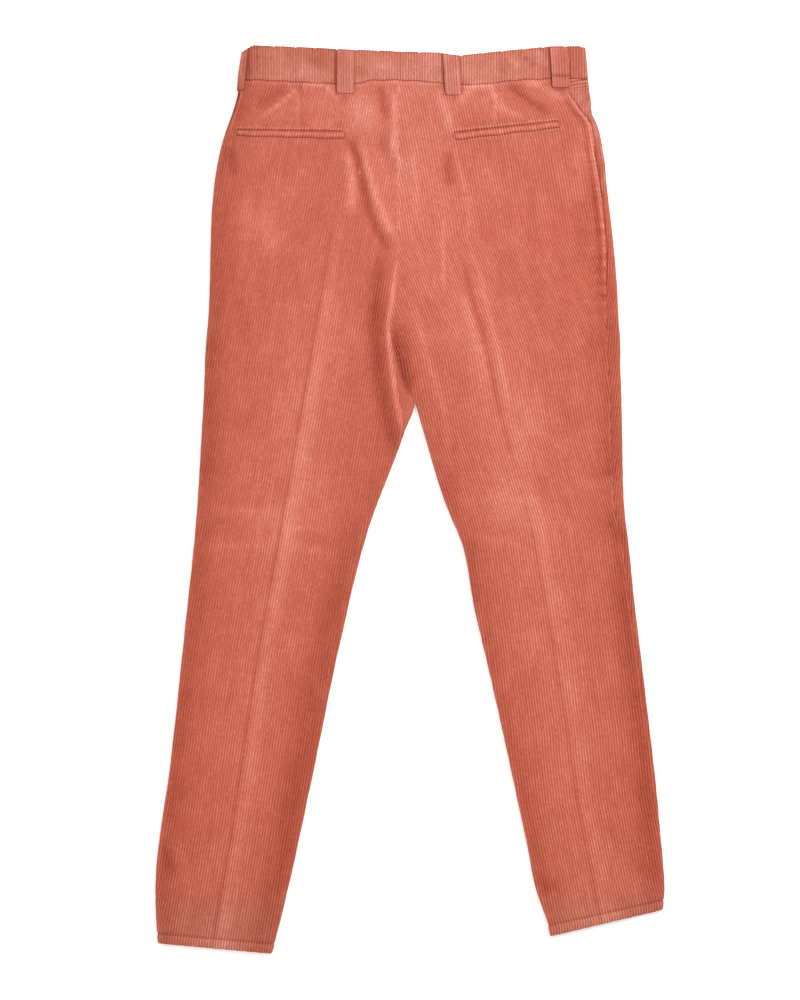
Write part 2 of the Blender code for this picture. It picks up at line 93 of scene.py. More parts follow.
# ---- rows of each side: outer and inner ends, then how far in the two seams lie on top ----
ROW_COLUMNS = ("outer_x", "outer_y", "inner_x", "inner_y", "side", "inseam")
LEFT_ROWS = (
    (-193, 518, -13, 518, 0, 0),        # waistband, upper edge
    (-197, 485, -13, 486, 0, 0),        # waist seam
    (-202, 459, -13, 456, 0, 0),
    (-212, 430, -13, 427, 0, 0),        # back pocket, upper edge
    (-215, 422, -13, 416, 0, 0),        # back pocket, lower edge
    (-223, 389, -13, 383, 0, 0),
    (-229, 342, -13, 339, 0, 0),
    (-231, 296, -14, 293, 0, 0),
    (-232, 249, -17, 249, 0, 0),
    (-234, 206, -23, 194, 0, 0),
    (-237, 172, -15, 166, 0, 0),
    (-238, 144, -8, 140, 0, 8),
    (-239, 118, 5, 114, 0, 18),         # apex of the fork
    (-241, 84, -6, 79, 0, 2),
    (-248, -26, -49, -37, 0, 0),        # knee
    (-261, -151, -81, -166, 0, 0),
    (-277, -300, -114, -325, 0, 0),
    (-295, -450, -144, -462, 0, 0),
    (-293, -502, -157, -514, 0, 0),     # hem stitching
    (-292, -513, -160, -525, 0, 0),     # hem
)
RIGHT_ROWS = (
    (203, 524, -13, 518, 32, 0),        # waistband, upper edge
    (206, 487, -13, 486, 32, 0),        # waist seam
    (209, 464, -13, 454, 20, 0),
    (212, 444, -13, 420, 8, 0),         # back pocket, upper edge
    (216, 436, -13, 409, 7, 0),         # back pocket, lower edge
    (224, 400, -13, 380, 10, 0),
    (230, 348, -13, 339, 8, 0),
    (236, 296, -14, 293, 9, 0),
    (240, 249, -17, 249, 13, 0),
    (242, 209, -23, 194, 15, 0),
    (244, 180, -15, 166, 16, 0),
    (244, 153, -8, 140, 15, 0),
    (245, 128, 5, 114, 13, 0),          # apex of the fork
    (246, 87, 15, 81, 14, 0),
    (249, -14, 43, -9, 12, 0),          # knee
    (254, -56, 61, -53, 8, 0),
    (260, -116, 73, -118, 6, 0),
    (269, -191, 92, -200, 5, 0),
    (291, -394, 137, -406, 0, 0),
    (295, -450, 148, -458, 0, 0),
    (294, -463, 160, -493, 0, 0),       # hem stitching
    (293, -474, 162, -505, 0, 0),       # hem
)
BAND_TOP, WAIST, POCKET_TOP, POCKET_LOW, POCKET_FOOT = 0, 1, 3, 4, 6

# press creases, which the wales follow, from the waist to the hem
LEFT_CREASE = ((-49, 520), (-56, 485), (-86, 325), (-124, 104), (-149, -39), (-175, -183),
               (-203, -375), (-227, -515))
RIGHT_CREASE = ((10, 520), (18, 485), (53, 304), (95, 171), (113, 81), (144, -39), (164, -151),
                (184, -267), (196, -350), (223, -484))
CREASE_HEIGHT = 1.3
CREASE_WIDTHS = (3.0, 9.0)      # steep on its left and gentle on its right
CREASE_STARTS = {"left": (345, 230, 1.0), "right": (70, -20, 0.6)}   # from, in full, strength

# ---- folds of the back: half width, height, painted light and shade, and points along it ----
FOLD_HEIGHT, FOLD_PAINTED_SHADING = 1, 2
FOLD_ENDS = 0.2                 # each fades out over this share of its length at both ends
FOLDS = (
    # deep fold from the left pocket to the fork
    (5, -2.2, -0.25, (-78, 424), (-68, 412), (-62, 396), (-57, 371), (-49, 338), (-39, 312),
     (-29, 295), (-17, 284)),
    (6, 0.9, 0.21, (-73, 410), (-67, 371), (-68, 328)),
    (5, 1.2, 0.18, (-58, 425), (-51, 389), (-38, 347), (-28, 322), (-15, 298)),
    # a shorter fold beside it
    (6, -1.4, -0.13, (-38, 422), (-29, 406), (-22, 391), (-15, 371)),
    (5, 0.8, 0.1, (-26, 418), (-17, 397), (-12, 376)),
    (5, -0.9, -0.20, (-36, 482), (-32, 465), (-30, 450), (-28, 440)),
    (3.5, 0.9, 0.20, (-19, 472), (-18, 452), (-19, 430), (-20, 403)),
    # round the left pocket
    (2.5, 1.1, 0.24, (-127, 479), (-140, 467), (-158, 453), (-176, 440)),
    (7, -0.9, -0.14, (-139, 479), (-158, 468), (-179, 455)),
    (6, -0.7, -0.14, (-208, 411), (-205, 391), (-204, 372)),
    (3, 0.3, 0.08, (-137, 415), (-124, 415), (-114, 414)),
    (3, 0.4, 0.12, (-127, 478), (-112, 481), (-97, 480)),
    (4, 0.5, 0.14, (-119, 434), (-102, 434), (-84, 436)),
    (3, 0.6, 0.16, (-100, 479), (-90, 471), (-81, 457)),
    (4, -0.5, -0.12, (-90, 457), (-80, 462), (-70, 464)),
    # inner thigh
    (10, -1.9, -0.24, (-24, 299), (-34, 275), (-39, 249), (-40, 209), (-38, 162), (-33, 122),
     (-26, 92), (-18, 62), (-10, 40)),
    (3.5, 1.1, 0.26, (-15, 286), (-19, 249), (-23, 215), (-25, 190), (-23, 165), (-18, 124),
     (-13, 96), (-8, 74)),
    (5, -1.6, -0.25, (-19, 207), (-14, 167), (-6, 139), (2, 116)),
    (7, -0.6, -0.14, (-14, 212), (-6, 186), (-2, 156), (8, 126)),
    # right thigh, along the press crease
    (3.5, -0.9, -0.14, (48, 306), (62, 269), (73, 228), (81, 202), (91, 162), (99, 122), (107, 88),
     (116, 54), (125, 20)),
    (6, 0.6, 0.09, (55, 250), (66, 209), (83, 160), (94, 122)),
    (4, 0.6, 0.11, (68, 300), (84, 244), (95, 199), (106, 152), (117, 95)),
    (5, 0.5, 0.06, (2, 244), (7, 215), (19, 168), (36, 116), (45, 58), (49, 19)),
    (7, -0.5, -0.08, (46, 70), (52, 35), (55, 0)),
    (3, 0.5, 0.12, (38, 336), (38, 284), (39, 234)),
    (7, 0.3, 0.06, (64, 354), (70, 336), (74, 316)),
    # left knee
    (4, 0.45, 0.07, (-241, -11), (-209, -14), (-172, -15), (-144, -18)),
    (4, 0.4, 0.07, (-150, -53), (-122, -56), (-102, -61), (-81, -77)),
    (4, -0.4, -0.05, (-132, -42), (-109, -48), (-84, -58)),
    (4, 0.4, 0.07, (-243, -55), (-197, -53), (-146, -54)),
    (3, 0.3, 0.06, (-150, -30), (-120, -32), (-92, -36)),
    # right knee
    (4, 0.5, 0.06, (60, -40), (90, -44), (131, -52)),
    (4, 0.5, 0.05, (169, 7), (209, 15), (247, 23)),
    (5, -0.4, -0.05, (201, 26), (224, 30), (244, 35)),
    (5, 0.4, 0.07, (84, 12), (110, 2), (140, -4)),
    # above the hems
    (6, -0.7, -0.09, (-287, -397), (-281, -418), (-269, -435)),
    (6, 0.5, 0.05, (-269, -397), (-260, -420), (-262, -445)),
    (7, -0.6, -0.09, (144, -438), (158, -450), (176, -445)),
    # over the right pocket
    (4.5, -1.4, -0.24, (110, 483), (125, 471), (143, 458), (164, 444)),
    (5, 0.4, 0.17, (96, 455), (114, 449), (136, 441)),
    (4, 0.8, 0.20, (127, 482), (150, 480), (166, 470), (184, 461)),
    (5, 0.5, 0.18, (54, 450), (60, 467), (75, 479), (92, 478), (101, 464), (108, 444)),
    (6, 0.6, 0.18, (33, 480), (37, 460), (44, 440), (49, 420)),
    # centre of the seat
    (9, -0.4, -0.07, (46, 408), (45, 383), (49, 360)),
    (10, -0.3, -0.05, (6, 470), (9, 450), (12, 425)),
    (5, -0.5, -0.12, (46, 404), (43, 384), (46, 360)),
    (3, 0.5, 0.12, (50, 414), (55, 392), (62, 366), (64, 352)),
    (4, 0.4, 0.08, (66, 360), (68, 330), (66, 300)),
    (4, 0.3, 0.06, (3, 406), (6, 365), (10, 327)),
    # right hip, along the seam
    (6, 0.3, 0.08, (201, 441), (209, 406), (213, 360)),
    (3, 0, -0.1, (217, 418), (220, 389), (224, 360)),
    (12, -0.4, -0.08, (192, 352), (198, 322), (205, 290)),
    (3, 0.4, 0.1, (206, 288), (216, 295), (225, 299)),
    # left thigh
    (8, 0, -0.05, (-197, 244), (-191, 209), (-193, 174)),
    # waistband
    (5, -0.2, -0.10, (-150, 517), (-128, 515), (-108, 508), (-88, 496)),
    (2.5, 0.2, 0.15, (110, 518), (117, 509), (127, 498)),
    (3, -0.3, -0.16, (123, 518), (133, 511), (148, 502)),
    (3, 0.3, 0.16, (145, 519), (153, 510), (163, 499)),
)

# ---- patches of nap and of painted light and shade (middle, half sizes, change of tone) ----
NAP_AND_PAINTED_LIGHT_PATCHES = (
    # waistband
    (-187, 505, 4, 24, -0.18), (-176, 512, 2.5, 12, -0.10), (-98, 515, 14, 12, -0.09),
    (-86, 500, 5, 20, -0.10), (-122, 494, 30, 6, 0.08), (-32, 503, 14, 6, 0.13),
    (-57, 497, 6, 7, -0.10), (22, 504, 6, 16, 0.09), (70, 494, 22, 7, 0.10),
    (-12, 502, 3, 20, -0.07), (38, 500, 4, 24, -0.06), (108, 506, 6, 14, -0.06),
    (157, 500, 5, 24, -0.14), (190, 500, 16, 24, -0.10), (31, 514, 9, 10, 0.09),
    (80, 515, 12, 8, 0.08),
    # left hip and over the left pocket
    (-200, 466, 7, 19, -0.19), (-150, 452, 14, 16, 0.06), (-104, 456, 24, 15, 0.10),
    (-60, 452, 16, 22, 0.20), (-45, 440, 9, 16, 0.08), (-111, 437, 9, 6, 0.07),
    # right hip and over the right pocket
    (218, 470, 12, 16, -0.10), (10, 474, 20, 8, 0.06), (82, 458, 24, 16, 0.06),
    (120, 464, 44, 10, 0.05), (196, 395, 9, 42, 0.09), (206, 484, 9, 10, -0.12),
    (186, 456, 9, 7, 0.07),
    # seat
    (-174, 322, 24, 24, 0.12), (-163, 296, 13, 10, 0.06), (-150, 362, 14, 12, 0.05),
    (-6, 400, 52, 110, 0.13), (40, 290, 40, 100, 0.05), (96, 370, 16, 18, 0.05),
    (196, 286, 9, 14, -0.07),
    # thighs and fork
    (134, 86, 28, 26, 0.07), (-1, 98, 7, 15, 0.10), (209, 178, 9, 36, -0.09),
    # knees
    (120, -8, 34, 24, 0.08), (236, 9, 13, 12, 0.03), (-195, -16, 60, 7, 0.03),
    (-130, -10, 45, 45, 0.05), (69, -90, 9, 30, -0.10), (-61, -75, 8, 8, 0.08),
    # lower legs and hems
    (-265, -420, 9, 16, 0.05), (-281, -418, 7, 14, -0.04), (160, -451, 17, 7, -0.05),
    (268, -480, 12, 12, -0.11), (-232, -430, 80, 75, -0.05), (215, -410, 70, 60, -0.03),
)
# painted shade of the leg edges at each level y: outer and inner edge of each side
EDGE_COLUMNS = ("y", "outer", "inner")
EDGE_PAINTED_SHADE = {
    "left": (
        (-520, -0.12, -0.10), (-400, -0.11, -0.15), (-250, -0.16, -0.16), (-100, -0.16, -0.15),
        (-50, -0.16, -0.10), (100, -0.22, -0.05), (300, -0.19, 0.0), (440, -0.16, 0.0),
        (520, -0.16, 0.0)),
    "right": (
        (-480, -0.06, -0.06), (-430, -0.15, -0.10), (-300, -0.18, -0.10), (-150, -0.20, -0.12),
        (-30, -0.20, -0.12), (5, -0.10, -0.13), (30, -0.17, -0.11), (240, -0.17, -0.05),
        (330, -0.10, 0.0), (440, -0.03, 0.0), (520, -0.06, 0.0)),
}
# painted shade right up to edges that face left, and a little inside those that face right
EDGE_SHADE_BANDS = {"left": {"outer": (0, 24), "inner": (16, 18)},
              "right": {"outer": (13, 14), "inner": (3, 15)}}
EDGE_RIM_HIGHLIGHT, RIM_WIDTH = 0.12, 4.5         # painted highlight along the very edge of those that face left

# how strongly the wales' painted highlight and shade show at each level y
CLEAR_COLUMNS = ("y", "left", "right")
WALE_HIGHLIGHT_STRENGTH = (
    (-520, 0.95, 1.10), (-400, 0.88, 1.05), (-200, 0.78, 1.05), (-50, 0.74, 1.00),
    (180, 0.72, 0.98), (300, 0.62, 0.85), (470, 0.60, 0.80), (490, 0.74, 0.95),
)

# ---- darts: place, upper and lower ends, the width of cloth that each takes up, and how
# suddenly the wales turn towards the waist ----
DARTS = {"left": (-130, 486, 430, 9, 1), "right": (98, 486, 431, 9, 2)}

# line that the right side's wales follow, a little off its press crease
RIGHT_GRAIN = ((10, 520), (18, 485), (48, 322), (80, 183), (144, -116), (181, -290), (216, -480))

# ---- upper edge of the waistband: how far it rises over the straight row ----
BAND_RISE = ((-193, 2), (-182, 7), (-128, 5), (-70, 2), (-13, 0), (37, -3), (54, -7),
             (104, -3), (164, 1), (203, 0))

# ---- waist seam: how far it strays from the straight row ----
WAIST_LINE = ((-197, 0.9), (-175, 0.5), (-139, -1.5), (-89, -4.3), (-64, -4.3), (-42, -0.3),
              (-13, -0.3), (18, -2.0), (41, -4.8), (60, -6.0), (83, -5.6), (110, -2.5),
              (130, -0.5), (162, 0.5), (206, 0))
WAIST_LINE_REACH = 14.0         # the rows close to the seam stray with it
WAVER, WAVER_LENGTH = 0.35, 4.1

# ---- front pockets: arc from the outer edge's tip to the slanted mouth, row by row ----
MOUTH = {"left": (36, 34, 29, 24, 22, 13, 1.4), "right": (36, 34, 29, 24, 22, 11, -7.0)}
MOUTH_SET_BACK = 0.6

# ---- back pocket welts: where they start and end from the outer edge, above and below ----
WELTS = {"left": ((10, 135), (14, 139)), "right": ((41, 163), (43, 164))}

# ---- belt loops: side, face, middle of the loop from the outer edge above and below, width,
# and the station of its foot ----
LOOP_TOP = 0.02
LOOP_RISE = 1.4                 # room for the belt
LOOPS = {
    "belt_loop_back_left": ("left", "back", 118, 124, 20, 1.48),
    "belt_loop_back_right": ("right", "back", 156, 157, 19, 1.56),
    "belt_loop_side_left": ("left", "edge", 0, 0, 21, 1.45),
    "belt_loop_side_right": ("right", "back", 31, 32, 21, 1.38),
    "belt_loop_front_left": ("left", "front", 96, 96, 21, 1.48),
    "belt_loop_front_right": ("right", "front", 110, 110, 21, 1.48),
}
LOOP_ROUND_EDGE = 2.5           # the side loop sits this much towards the front

# ---- soft bands along the seams: the distance that places them, their strength, how much more
# of it there is on the wales, and the middle and half width of the band ----
# heights
SEAM_DIPS = (("from_start", -0.3, 0, 0, 1.3), ("to_end", -0.3, 0, 0, 1.3))
FRONT_DIPS = (("from_start", -0.4, 0, 0, 1.3), ("to_end", -0.4, 0, 0, 1.3))
FACING_DIPS = (("from_start", -0.5, 0, 0, 1.3),)
ROW_DIPS = (("below_waist", -0.35, 0, 0, 1.3), ("past_stitching", -0.6, 0, 0, 1.3),
            ("to_hem", -0.7, 0, 0, 1.2))
SIDE_ROLL = (("to_end", 0.9, 0, 3.2, 2.8),)
LIPS = (("above_slit", 0.8, 0, 1.6, 2.0), ("below_welt", 0.3, 0, 2.0, 1.8))
# tones, most of them painted light and shade
# painted highlight right of the press crease and painted shade on its left
CREASE_PAINTED_LIGHT_AND_SHADE = (("from_crease", 0.09, 0, 8, 8), ("from_crease", -0.12, 0, -2, 2.2))
# a broad painted highlight along the press crease
CREASE_PAINTED_HIGHLIGHT = (("from_crease", 0.09, 0, 0, 44),)
# painted highlight where the cloth rolls under the waist seam, painted shade in it and at the hem's
# stitching
ROW_PAINTED_LIGHT_AND_SHADE = (("below_waist", 0.13, 0, 2.2, 1.6), ("below_waist", -0.208, 0.16, 0, 1.0),
             ("past_stitching", -0.19, 0.10, 0, 1.2))
# painted highlight along the back's seams
SEAM_EDGE_PAINTED_HIGHLIGHT = (("from_start", 0.09, 0, 0.8, 1.2), ("to_end", 0.09, 0, 0.8, 1.2))
# painted highlight on the right hip's rolled seam and painted shade just inside it
ROLL_PAINTED_LIGHT_AND_SHADE = (("to_end", 0.20, 0, 2.8, 1.9), ("to_end", -0.14, 0, 8.0, 3.0))
# painted highlight on the left hip's seam line and painted shade at its very edge
LEFT_HIP_PAINTED_LIGHT_AND_SHADE = (("to_end", 0.26, 0, 6.0, 1.2), ("to_end", -0.34, 0, 2.0, 2.4))
# painted highlight on the lips about the back pocket's slit, and painted shade a little above it
LIP_PAINTED_LIGHT_AND_SHADE = (("above_slit", 0.04, 0.20, 0.9, 1.2), ("below_welt", 0, 0.17, 1.2, 1.1),
             ("above_slit", -0.05, 0, 5.0, 2.5))
# painted shade beside the dart
DART_SHADE = (("from_dart", -0.10, 0, 4.5, 1.5),)
MOUTH_TONES = (("from_start", 0.12, 0, 1.2, 1.4),)
# painted shade in the groove of the right side seam
GROOVE_PAINTED_SHADE = (("from_start", -0.22, 0, 0.6, 1.4),)
# painted shade on the facing beside the right hip's roll
FACING_PAINTED_SHADE = (("from_start", -0.24, 0, 0.4, 1.6),)
# painted shade where the band turns in to its seam and along its upper edge, paler on the wale
# stubs
BAND_PAINTED_LIGHT_AND_SHADE = (("below_waist", -0.24, 0.20, -0.4, 1.0), ("below_waist", 0, 0.05, -2.2, 1.2),
              ("depth", -0.264, 0.24, 0.2, 1.3))
# painted shade in the slit and along the welt's lower seam, painted highlight on its ridge
WELT_PAINTED_LIGHT_AND_SHADE = (("down_welt", -0.34, 0, 0.08, 0.16), ("down_welt", 0.04, 0.14, 0.55, 0.16),
              ("down_welt", -0.312, 0.182, 1.0, 0.13))
# painted highlight on a loop's folded sides and painted shade at their very edges
LOOP_PAINTED_LIGHT_AND_SHADE = (("to_ends", 0.10, 0, 2.0, 1.0), ("to_ends", -0.12, 0, 0, 0.9))

# ---- where the cloth rolls, puckers and waves: low end, rise, high end, fall ----
ROLL_LEVELS = (230, 60, 475, 20)        # right hip's seam
LOW_PUCKERS = (195, 35, 345, 25)
HIGH_PUCKERS = (330, 25, 452, 15)
LEFT_HIP = (418, 14, 480, 6)
PUCKER_REACH = 9
# painted light and shade that follows the puckers' ripples
PUCKER_PAINTED_SHADING = 0.22
HEM_PUFF = 0.3
HEM_FADE = 20                           # the hem's thickness comes in over this height
HEM_TONES = (0.002, 0.12)               # plain, and more on the wales
HEM_WAVE = 0.7                          # how far the wales stand out below the hem
BAND_WAVE = 1.5                         # and above the waistband
RUNG_PAINTED_SHADING, RUNG_PITCH, RUNG_WIDTH = 0.11, 2.9, 3.0      # painted light and shade of small puckers across a dart
GATHER_PAINTED_SHADING, GATHER_TOP_PAINTED_SHADING, GATHER_REACH = 0.06, 0.20, 18     # painted light and shade of gathers: all down, more at the top
LOOP_SIDE_SHADOWS = (-0.13, -0.15)        # painted shadow beside a loop, and more on its shaded side
# painted shadow under a loop's foot
LOOP_FOOT_SHADOW = -0.30
LOOP_SHADE_AT, LOOP_SHADE_WIDTH = 0.8, 1.3
# how far one loop is pressed into the band's seam, and its painted shade
LOOP_PRESS, LOOP_PRESS_SHADE = 0.6, -0.28
WELT_WAVES = {"left": (0.1, 9.0, 0.4), "right": (0.2, 5.5, 0.7)}    # height, length, waver
WELT_PILE = 0.3
RIDGE_AT = 0.62                         # how far down the welt its ridge is highest

# ---- rows closer together near the seams, as distances below them ----
WAIST_ROWS = (0.9, 1.8, 3.0)
POCKET_ROWS = (-4.0, -2.6, -1.8, -1.2, -0.6, 0.0, 0.8)
STITCHING_ROWS = (-4.0, -2.2, -1.1, 0.0, 1.1, 2.2, 4.0)
HEM_ROWS = (-1.6, -0.7)
FOOT_ROWS = (-30.0, -24.0, -18.0, -12.0, -6.0, -3.0, -0.2, 0.2, 3.0)
LOOP_ROWS = (0, 0.3, 0.8, 1.5, 4, 8, 13, 18, 23, 28, 29.6, 30.8, 32, 33.5, 38, 42)
PUCKER_ROWS = np.arange(3.0, 215.0, 2.4)        # where the right side seam draws the cloth in
GATHER_ROWS = np.arange(1.0, 19.0, 1.2)         # where a facing gathers under the waistband

# ---- columns in each zone of the outer and inner face (0: in step with the wales), and how far
# apart the inner face's are ----
COLUMNS = {
    "back": ((11, 0, 12), (3, 0, 3), 12.0),
    "front": ((24, 0, 16), (8, 0, 6), 36.0),
    "facing": ((24, 14, 30), (4, 7, 4), 36.0),
    "waistband": ((4, 0, 16, 0, 4), (1, 0, 8, 0, 1), 24.0),
    "welt": ((6, 0, 6), (1, 0, 1), 12.7),
    "loop": ((4, 0, 4), (1, 3, 1), FINE_STEP),
    "edge loop": ((8, 20, 8), (1, 8, 2), FINE_STEP),
}
# keys that join the columns of neighbouring rows, and how near a zone's end none is set
ZONE_KEY, GRID_KEY, SHARE_KEY = 1e5, 2e4, 4e4
GRID_CLEARANCE = 0.4

# ---- sewing ----
THREAD = 0.26                   # half the thickness of a sewing stitch
THREAD_SIDES = 5
STITCH, STITCH_GAP = 2.7, 0.9
STITCH_RINGS = ((0.0, 0.3, -0.5), (0.2, 1.0, 0.0), (0.8, 1.0, 0.0), (1.0, 0.3, -0.5))
UNDER = -0.3                    # offset of the stitches on the underside
TACK = 1.1                      # half the length of a bar tack's stitches
FLY_WIDTH, FLY_LENGTH = 36.0, 165.0

# ---- colours: steps from the deepest to the palest tone of the cloth ----
PANEL_SHADES = ((0.0, "#702719"), (0.2, "#934131"), (0.35, "#a6503e"), (0.5, "#b55c49"),
                (0.65, "#c36b5a"), (0.8, "#d17f6e"), (1.0, "#dda094"))
BAND_SHADES = ((0.0, "#702a1d"), (0.2, "#934636"), (0.35, "#a75745"), (0.5, "#b66656"),
               (0.65, "#c47768"), (0.8, "#d18b7c"), (1.0, "#dca99d"))
# tint of the cloth by the distance below the waist, in metres
DEPTH_TINTS = ((0.0, "#fcffff"), (0.09, "#fbffff"), (0.18, "#fffefd"), (0.30, "#fffcf8"),
               (0.45, "#fffdfb"), (0.58, "#fffaf4"), (0.74, "#fff6ee"), (0.84, "#fff3ea"),
               (0.94, "#fff4ea"), (0.985, "#fffaf3"), (1.0, "#f8fcfa"))
THREAD_SHADES = ((0.0, "#a8523f"), (1.0, "#cf7e6b"))
# painted highlight on the wales' crests and painted shade in their grooves
WALE_HIGHLIGHT = 0.12

# ---- studio, in metres and watts but for the scale and middle of the view ----
VIEW_SIZE = (800, 1000)
MM_PER_PIXEL = 1.16
CAMERA_X = -11.6
CAMERA_HEIGHT = 3.2
SENSOR = 36.0
FLOOR_HALF = 4.0
FLOOR_Z = -0.0002
SKY_STRENGTH = 0.62
LIGHTS = (("key", (1.3, 1.4, 1.9), (0.0, 0.05, 0), 1.2, 52),     # place, aim, size, power
          ("fill", (-1.8, 0.4, 1.9), (0, 0, 0), 1.8, 18))


# ======== form ========

def smooth(t):
    t = np.clip(t, 0.0, 1.0)
    return t * t * (3.0 - 2.0 * t)


def bell(distance, width):
    return np.exp(-(distance / width) ** 2)


def between(value, low, rise, high, fall):
    """1 between two levels and 0 outside them, with a soft rise and fall inside."""
    return smooth((value - low) / rise) * smooth((high - value) / fall)


def look_up(table, names, name, y):
    """A value of a table at level y."""
    rows = np.array(table, dtype=float)
    return np.interp(y, rows[:, 0], rows[:, names.index(name)])


def curve_y(points, x):
    """Height of a curve through (x, y) points."""
    return np.interp(x, *np.array(points, dtype=float).T)


def curve_x(points, y):
    """x at level y of a line that runs down through (x, y) points."""
    line_x, line_y = np.array(points[::-1], dtype=float).T
    return np.interp(y, line_y, line_x)


def folds(x, y, column):
    """Height of all the folds at points of the back, and in the other column their painted light
    and shade.
    """
    total = np.zeros_like(x)
    for fold in FOLDS:
        width, strength, line = fold[0], fold[column], np.array(fold[3:], dtype=float)
        low, high = line.min(axis=0) - 3 * width, line.max(axis=0) + 3 * width
        near = (x > low[0]) & (x < high[0]) & (y > low[1]) & (y < high[1])
        if not near.any():
            continue
        px, py = x[near], y[near]
        nearest, along = np.full_like(px, 1e9), np.zeros_like(px)
        for n, ((ax, ay), (bx, by)) in enumerate(zip(line, line[1:])):
            dx, dy = bx - ax, by - ay
            share = np.clip(((px - ax) * dx + (py - ay) * dy) / (dx * dx + dy * dy), 0.0, 1.0)
            distance = np.hypot(px - ax - share * dx, py - ay - share * dy)
            along = np.where(distance < nearest, (n + share) / (len(line) - 1), along)
            nearest = np.minimum(nearest, distance)
        total[near] += strength * between(along, 0, FOLD_ENDS, 1, FOLD_ENDS) * bell(nearest, width)
    return total


class Half:
    """One side of the trousers: rows across a flattened tube, from waist to hem."""

    def __init__(self, side, rows, crease):
        self.side = side
        self.rows = np.array(rows, dtype=float)
        self.crease = crease
        self.last = len(rows) - 1
        self.stitching = self.last - 1
        middles = (self.rows[:, :2] + self.rows[:, 2:4]) / 2
        gaps = np.hypot(*np.diff(middles, axis=0).T)
        self.down = np.concatenate(((0.0,), np.cumsum(gaps)))
        self.slopes = np.gradient(self.rows, self.down, axis=0)
        self.slopes[:WAIST + 1] = (self.rows[WAIST] - self.rows[BAND_TOP]) / gaps[0]
        self.slopes[-2:] = (self.rows[-1] - self.rows[-2]) / gaps[-1]
        self.traces = {}

    def row(self, s):
        """The row at station s, on smooth curves through the rows of the table."""
        low = min(int(s), self.last - 1)
        t = s - low
        reach = self.down[low + 1] - self.down[low]
        values = (
            (2 * t ** 3 - 3 * t ** 2 + 1) * self.rows[low]
            + (3 * t ** 2 - 2 * t ** 3) * self.rows[low + 1]
            + (t ** 3 - 2 * t ** 2 + t) * reach * self.slopes[low]
            + (t ** 3 - t ** 2) * reach * self.slopes[low + 1])
        values[4:] = self.rows[low, 4:] * (1 - t) + self.rows[low + 1, 4:] * t
        return SimpleNamespace(**dict(zip(ROW_COLUMNS, values)))

    def depth(self, s):
        """Distance of a station below the top of the waistband."""
        return float(np.interp(s, range(len(self.down)), self.down))

    def station(self, depth):
        return float(np.interp(depth, self.down, range(len(self.down))))

    def after(self, s, distance):
        return self.station(self.depth(s) + distance)

    def share(self, s, first, final):
        """How far down a station is between two others, from 0 to 1."""
        start = self.depth(first)
        return (self.depth(s) - start) / (self.depth(final) - start)

    def stations(self, first, final, step, near=()):
        """Stations between two, a step apart, and closer together near some lines."""
        start, stop = self.depth(first), self.depth(final)
        count = max(1, round((stop - start) / step))
        depths = list(np.linspace(start, stop, count + 1))
        for line, offsets in near:
            extra = [self.depth(line) + offset for offset in offsets]
            clear = [d for d in depths
                     if all(abs(d - e) > ROW_CLEARANCE for e in extra) or d in (start, stop)]
            depths = clear + [e for e in extra if start + END_CLEARANCE < e < stop - END_CLEARANCE]
        return [self.station(d) for d in sorted(depths)]

    def trace(self, s):
        """The outer line of the cloth round row s, and the places that the pieces need."""
        if s in self.traces:
            return self.traces[s]
        row = self.row(s)
        outer = np.array((row.outer_x, row.outer_y))
        inner = np.array((row.inner_x, row.inner_y))
        shut = np.interp(inner[1], (FORK_SHUT_Y, FORK_OPEN_Y), (1.0, 0.0))
        width = np.hypot(*(inner - outer))
        along = (inner - outer) / width
        width -= shut * LEG_GAP
        near_waist = bell(self.depth(s) - self.depth(WAIST), WAIST_LINE_REACH)

        def place(distance):
            """Point of the row on the table; the waistband's upper edge isn't quite straight."""
            x, y = (outer[axis] + along[axis] * distance for axis in (0, 1))
            at_fork = smooth((y - FORK_LOW_Y) / FORK_FADE)
            at_fork = at_fork * smooth(1 - (width - distance) / FORK_FADE)
            x = x + along[0] * FORK_PRESS * shut * at_fork
            stray = curve_y(WAIST_LINE, x) + WAVER * np.sin(x / WAVER_LENGTH)
            return x, y + max(0.0, WAIST - s) * curve_y(BAND_RISE, x) + stray * near_waist

        over, under = (look_up(LAY, LAY_COLUMNS, name, row.outer_y)
                       for name in ("top_round", "base_round"))
        middle = look_up(LAY, LAY_COLUMNS, "base", row.outer_y) + under
        right = math.pi / 2
        cut = math.asin(1 - shut)

        def round_over(angle):
            bend = 1 - np.cos(angle)
            return TIGHT_ROUND * bend + (over - TIGHT_ROUND) * bend ** 2

        def round_under(angle):
            return under * (1 - np.cos(angle))

        def face(name, bend, count):
            """Line of the top or the base, as distances and heights from the inner end out."""
            in_turn = np.linspace(cut, right, ROUND_POINTS)
            out_turn = np.linspace(right, 0, ROUND_POINTS)
            inner_x, outer_x = width - bend(in_turn) + bend(cut), bend(out_turn)
            x = np.concatenate((
                inner_x, np.linspace(inner_x[-1], outer_x[0], count)[1:-1], outer_x))
            flat = np.full(len(x) - ROUND_POINTS, 1.0)
            inner_rise = np.concatenate((np.sin(in_turn), flat))
            outer_rise = np.concatenate((flat, np.sin(out_turn)))
            at = place(x)
            z = middle + (look_up(LAY, LAY_COLUMNS, name, at[1]) - middle) * (
                inner_rise + outer_rise - 1)
            if name == "top":
                z += self.relief(*at) * inner_rise * outer_rise
            return x, z

        top_x, top_z = face("top", round_over, TOP_POINTS)
        base_x, base_z = (line[-2::-1] for line in face("base", round_under, BASE_POINTS))

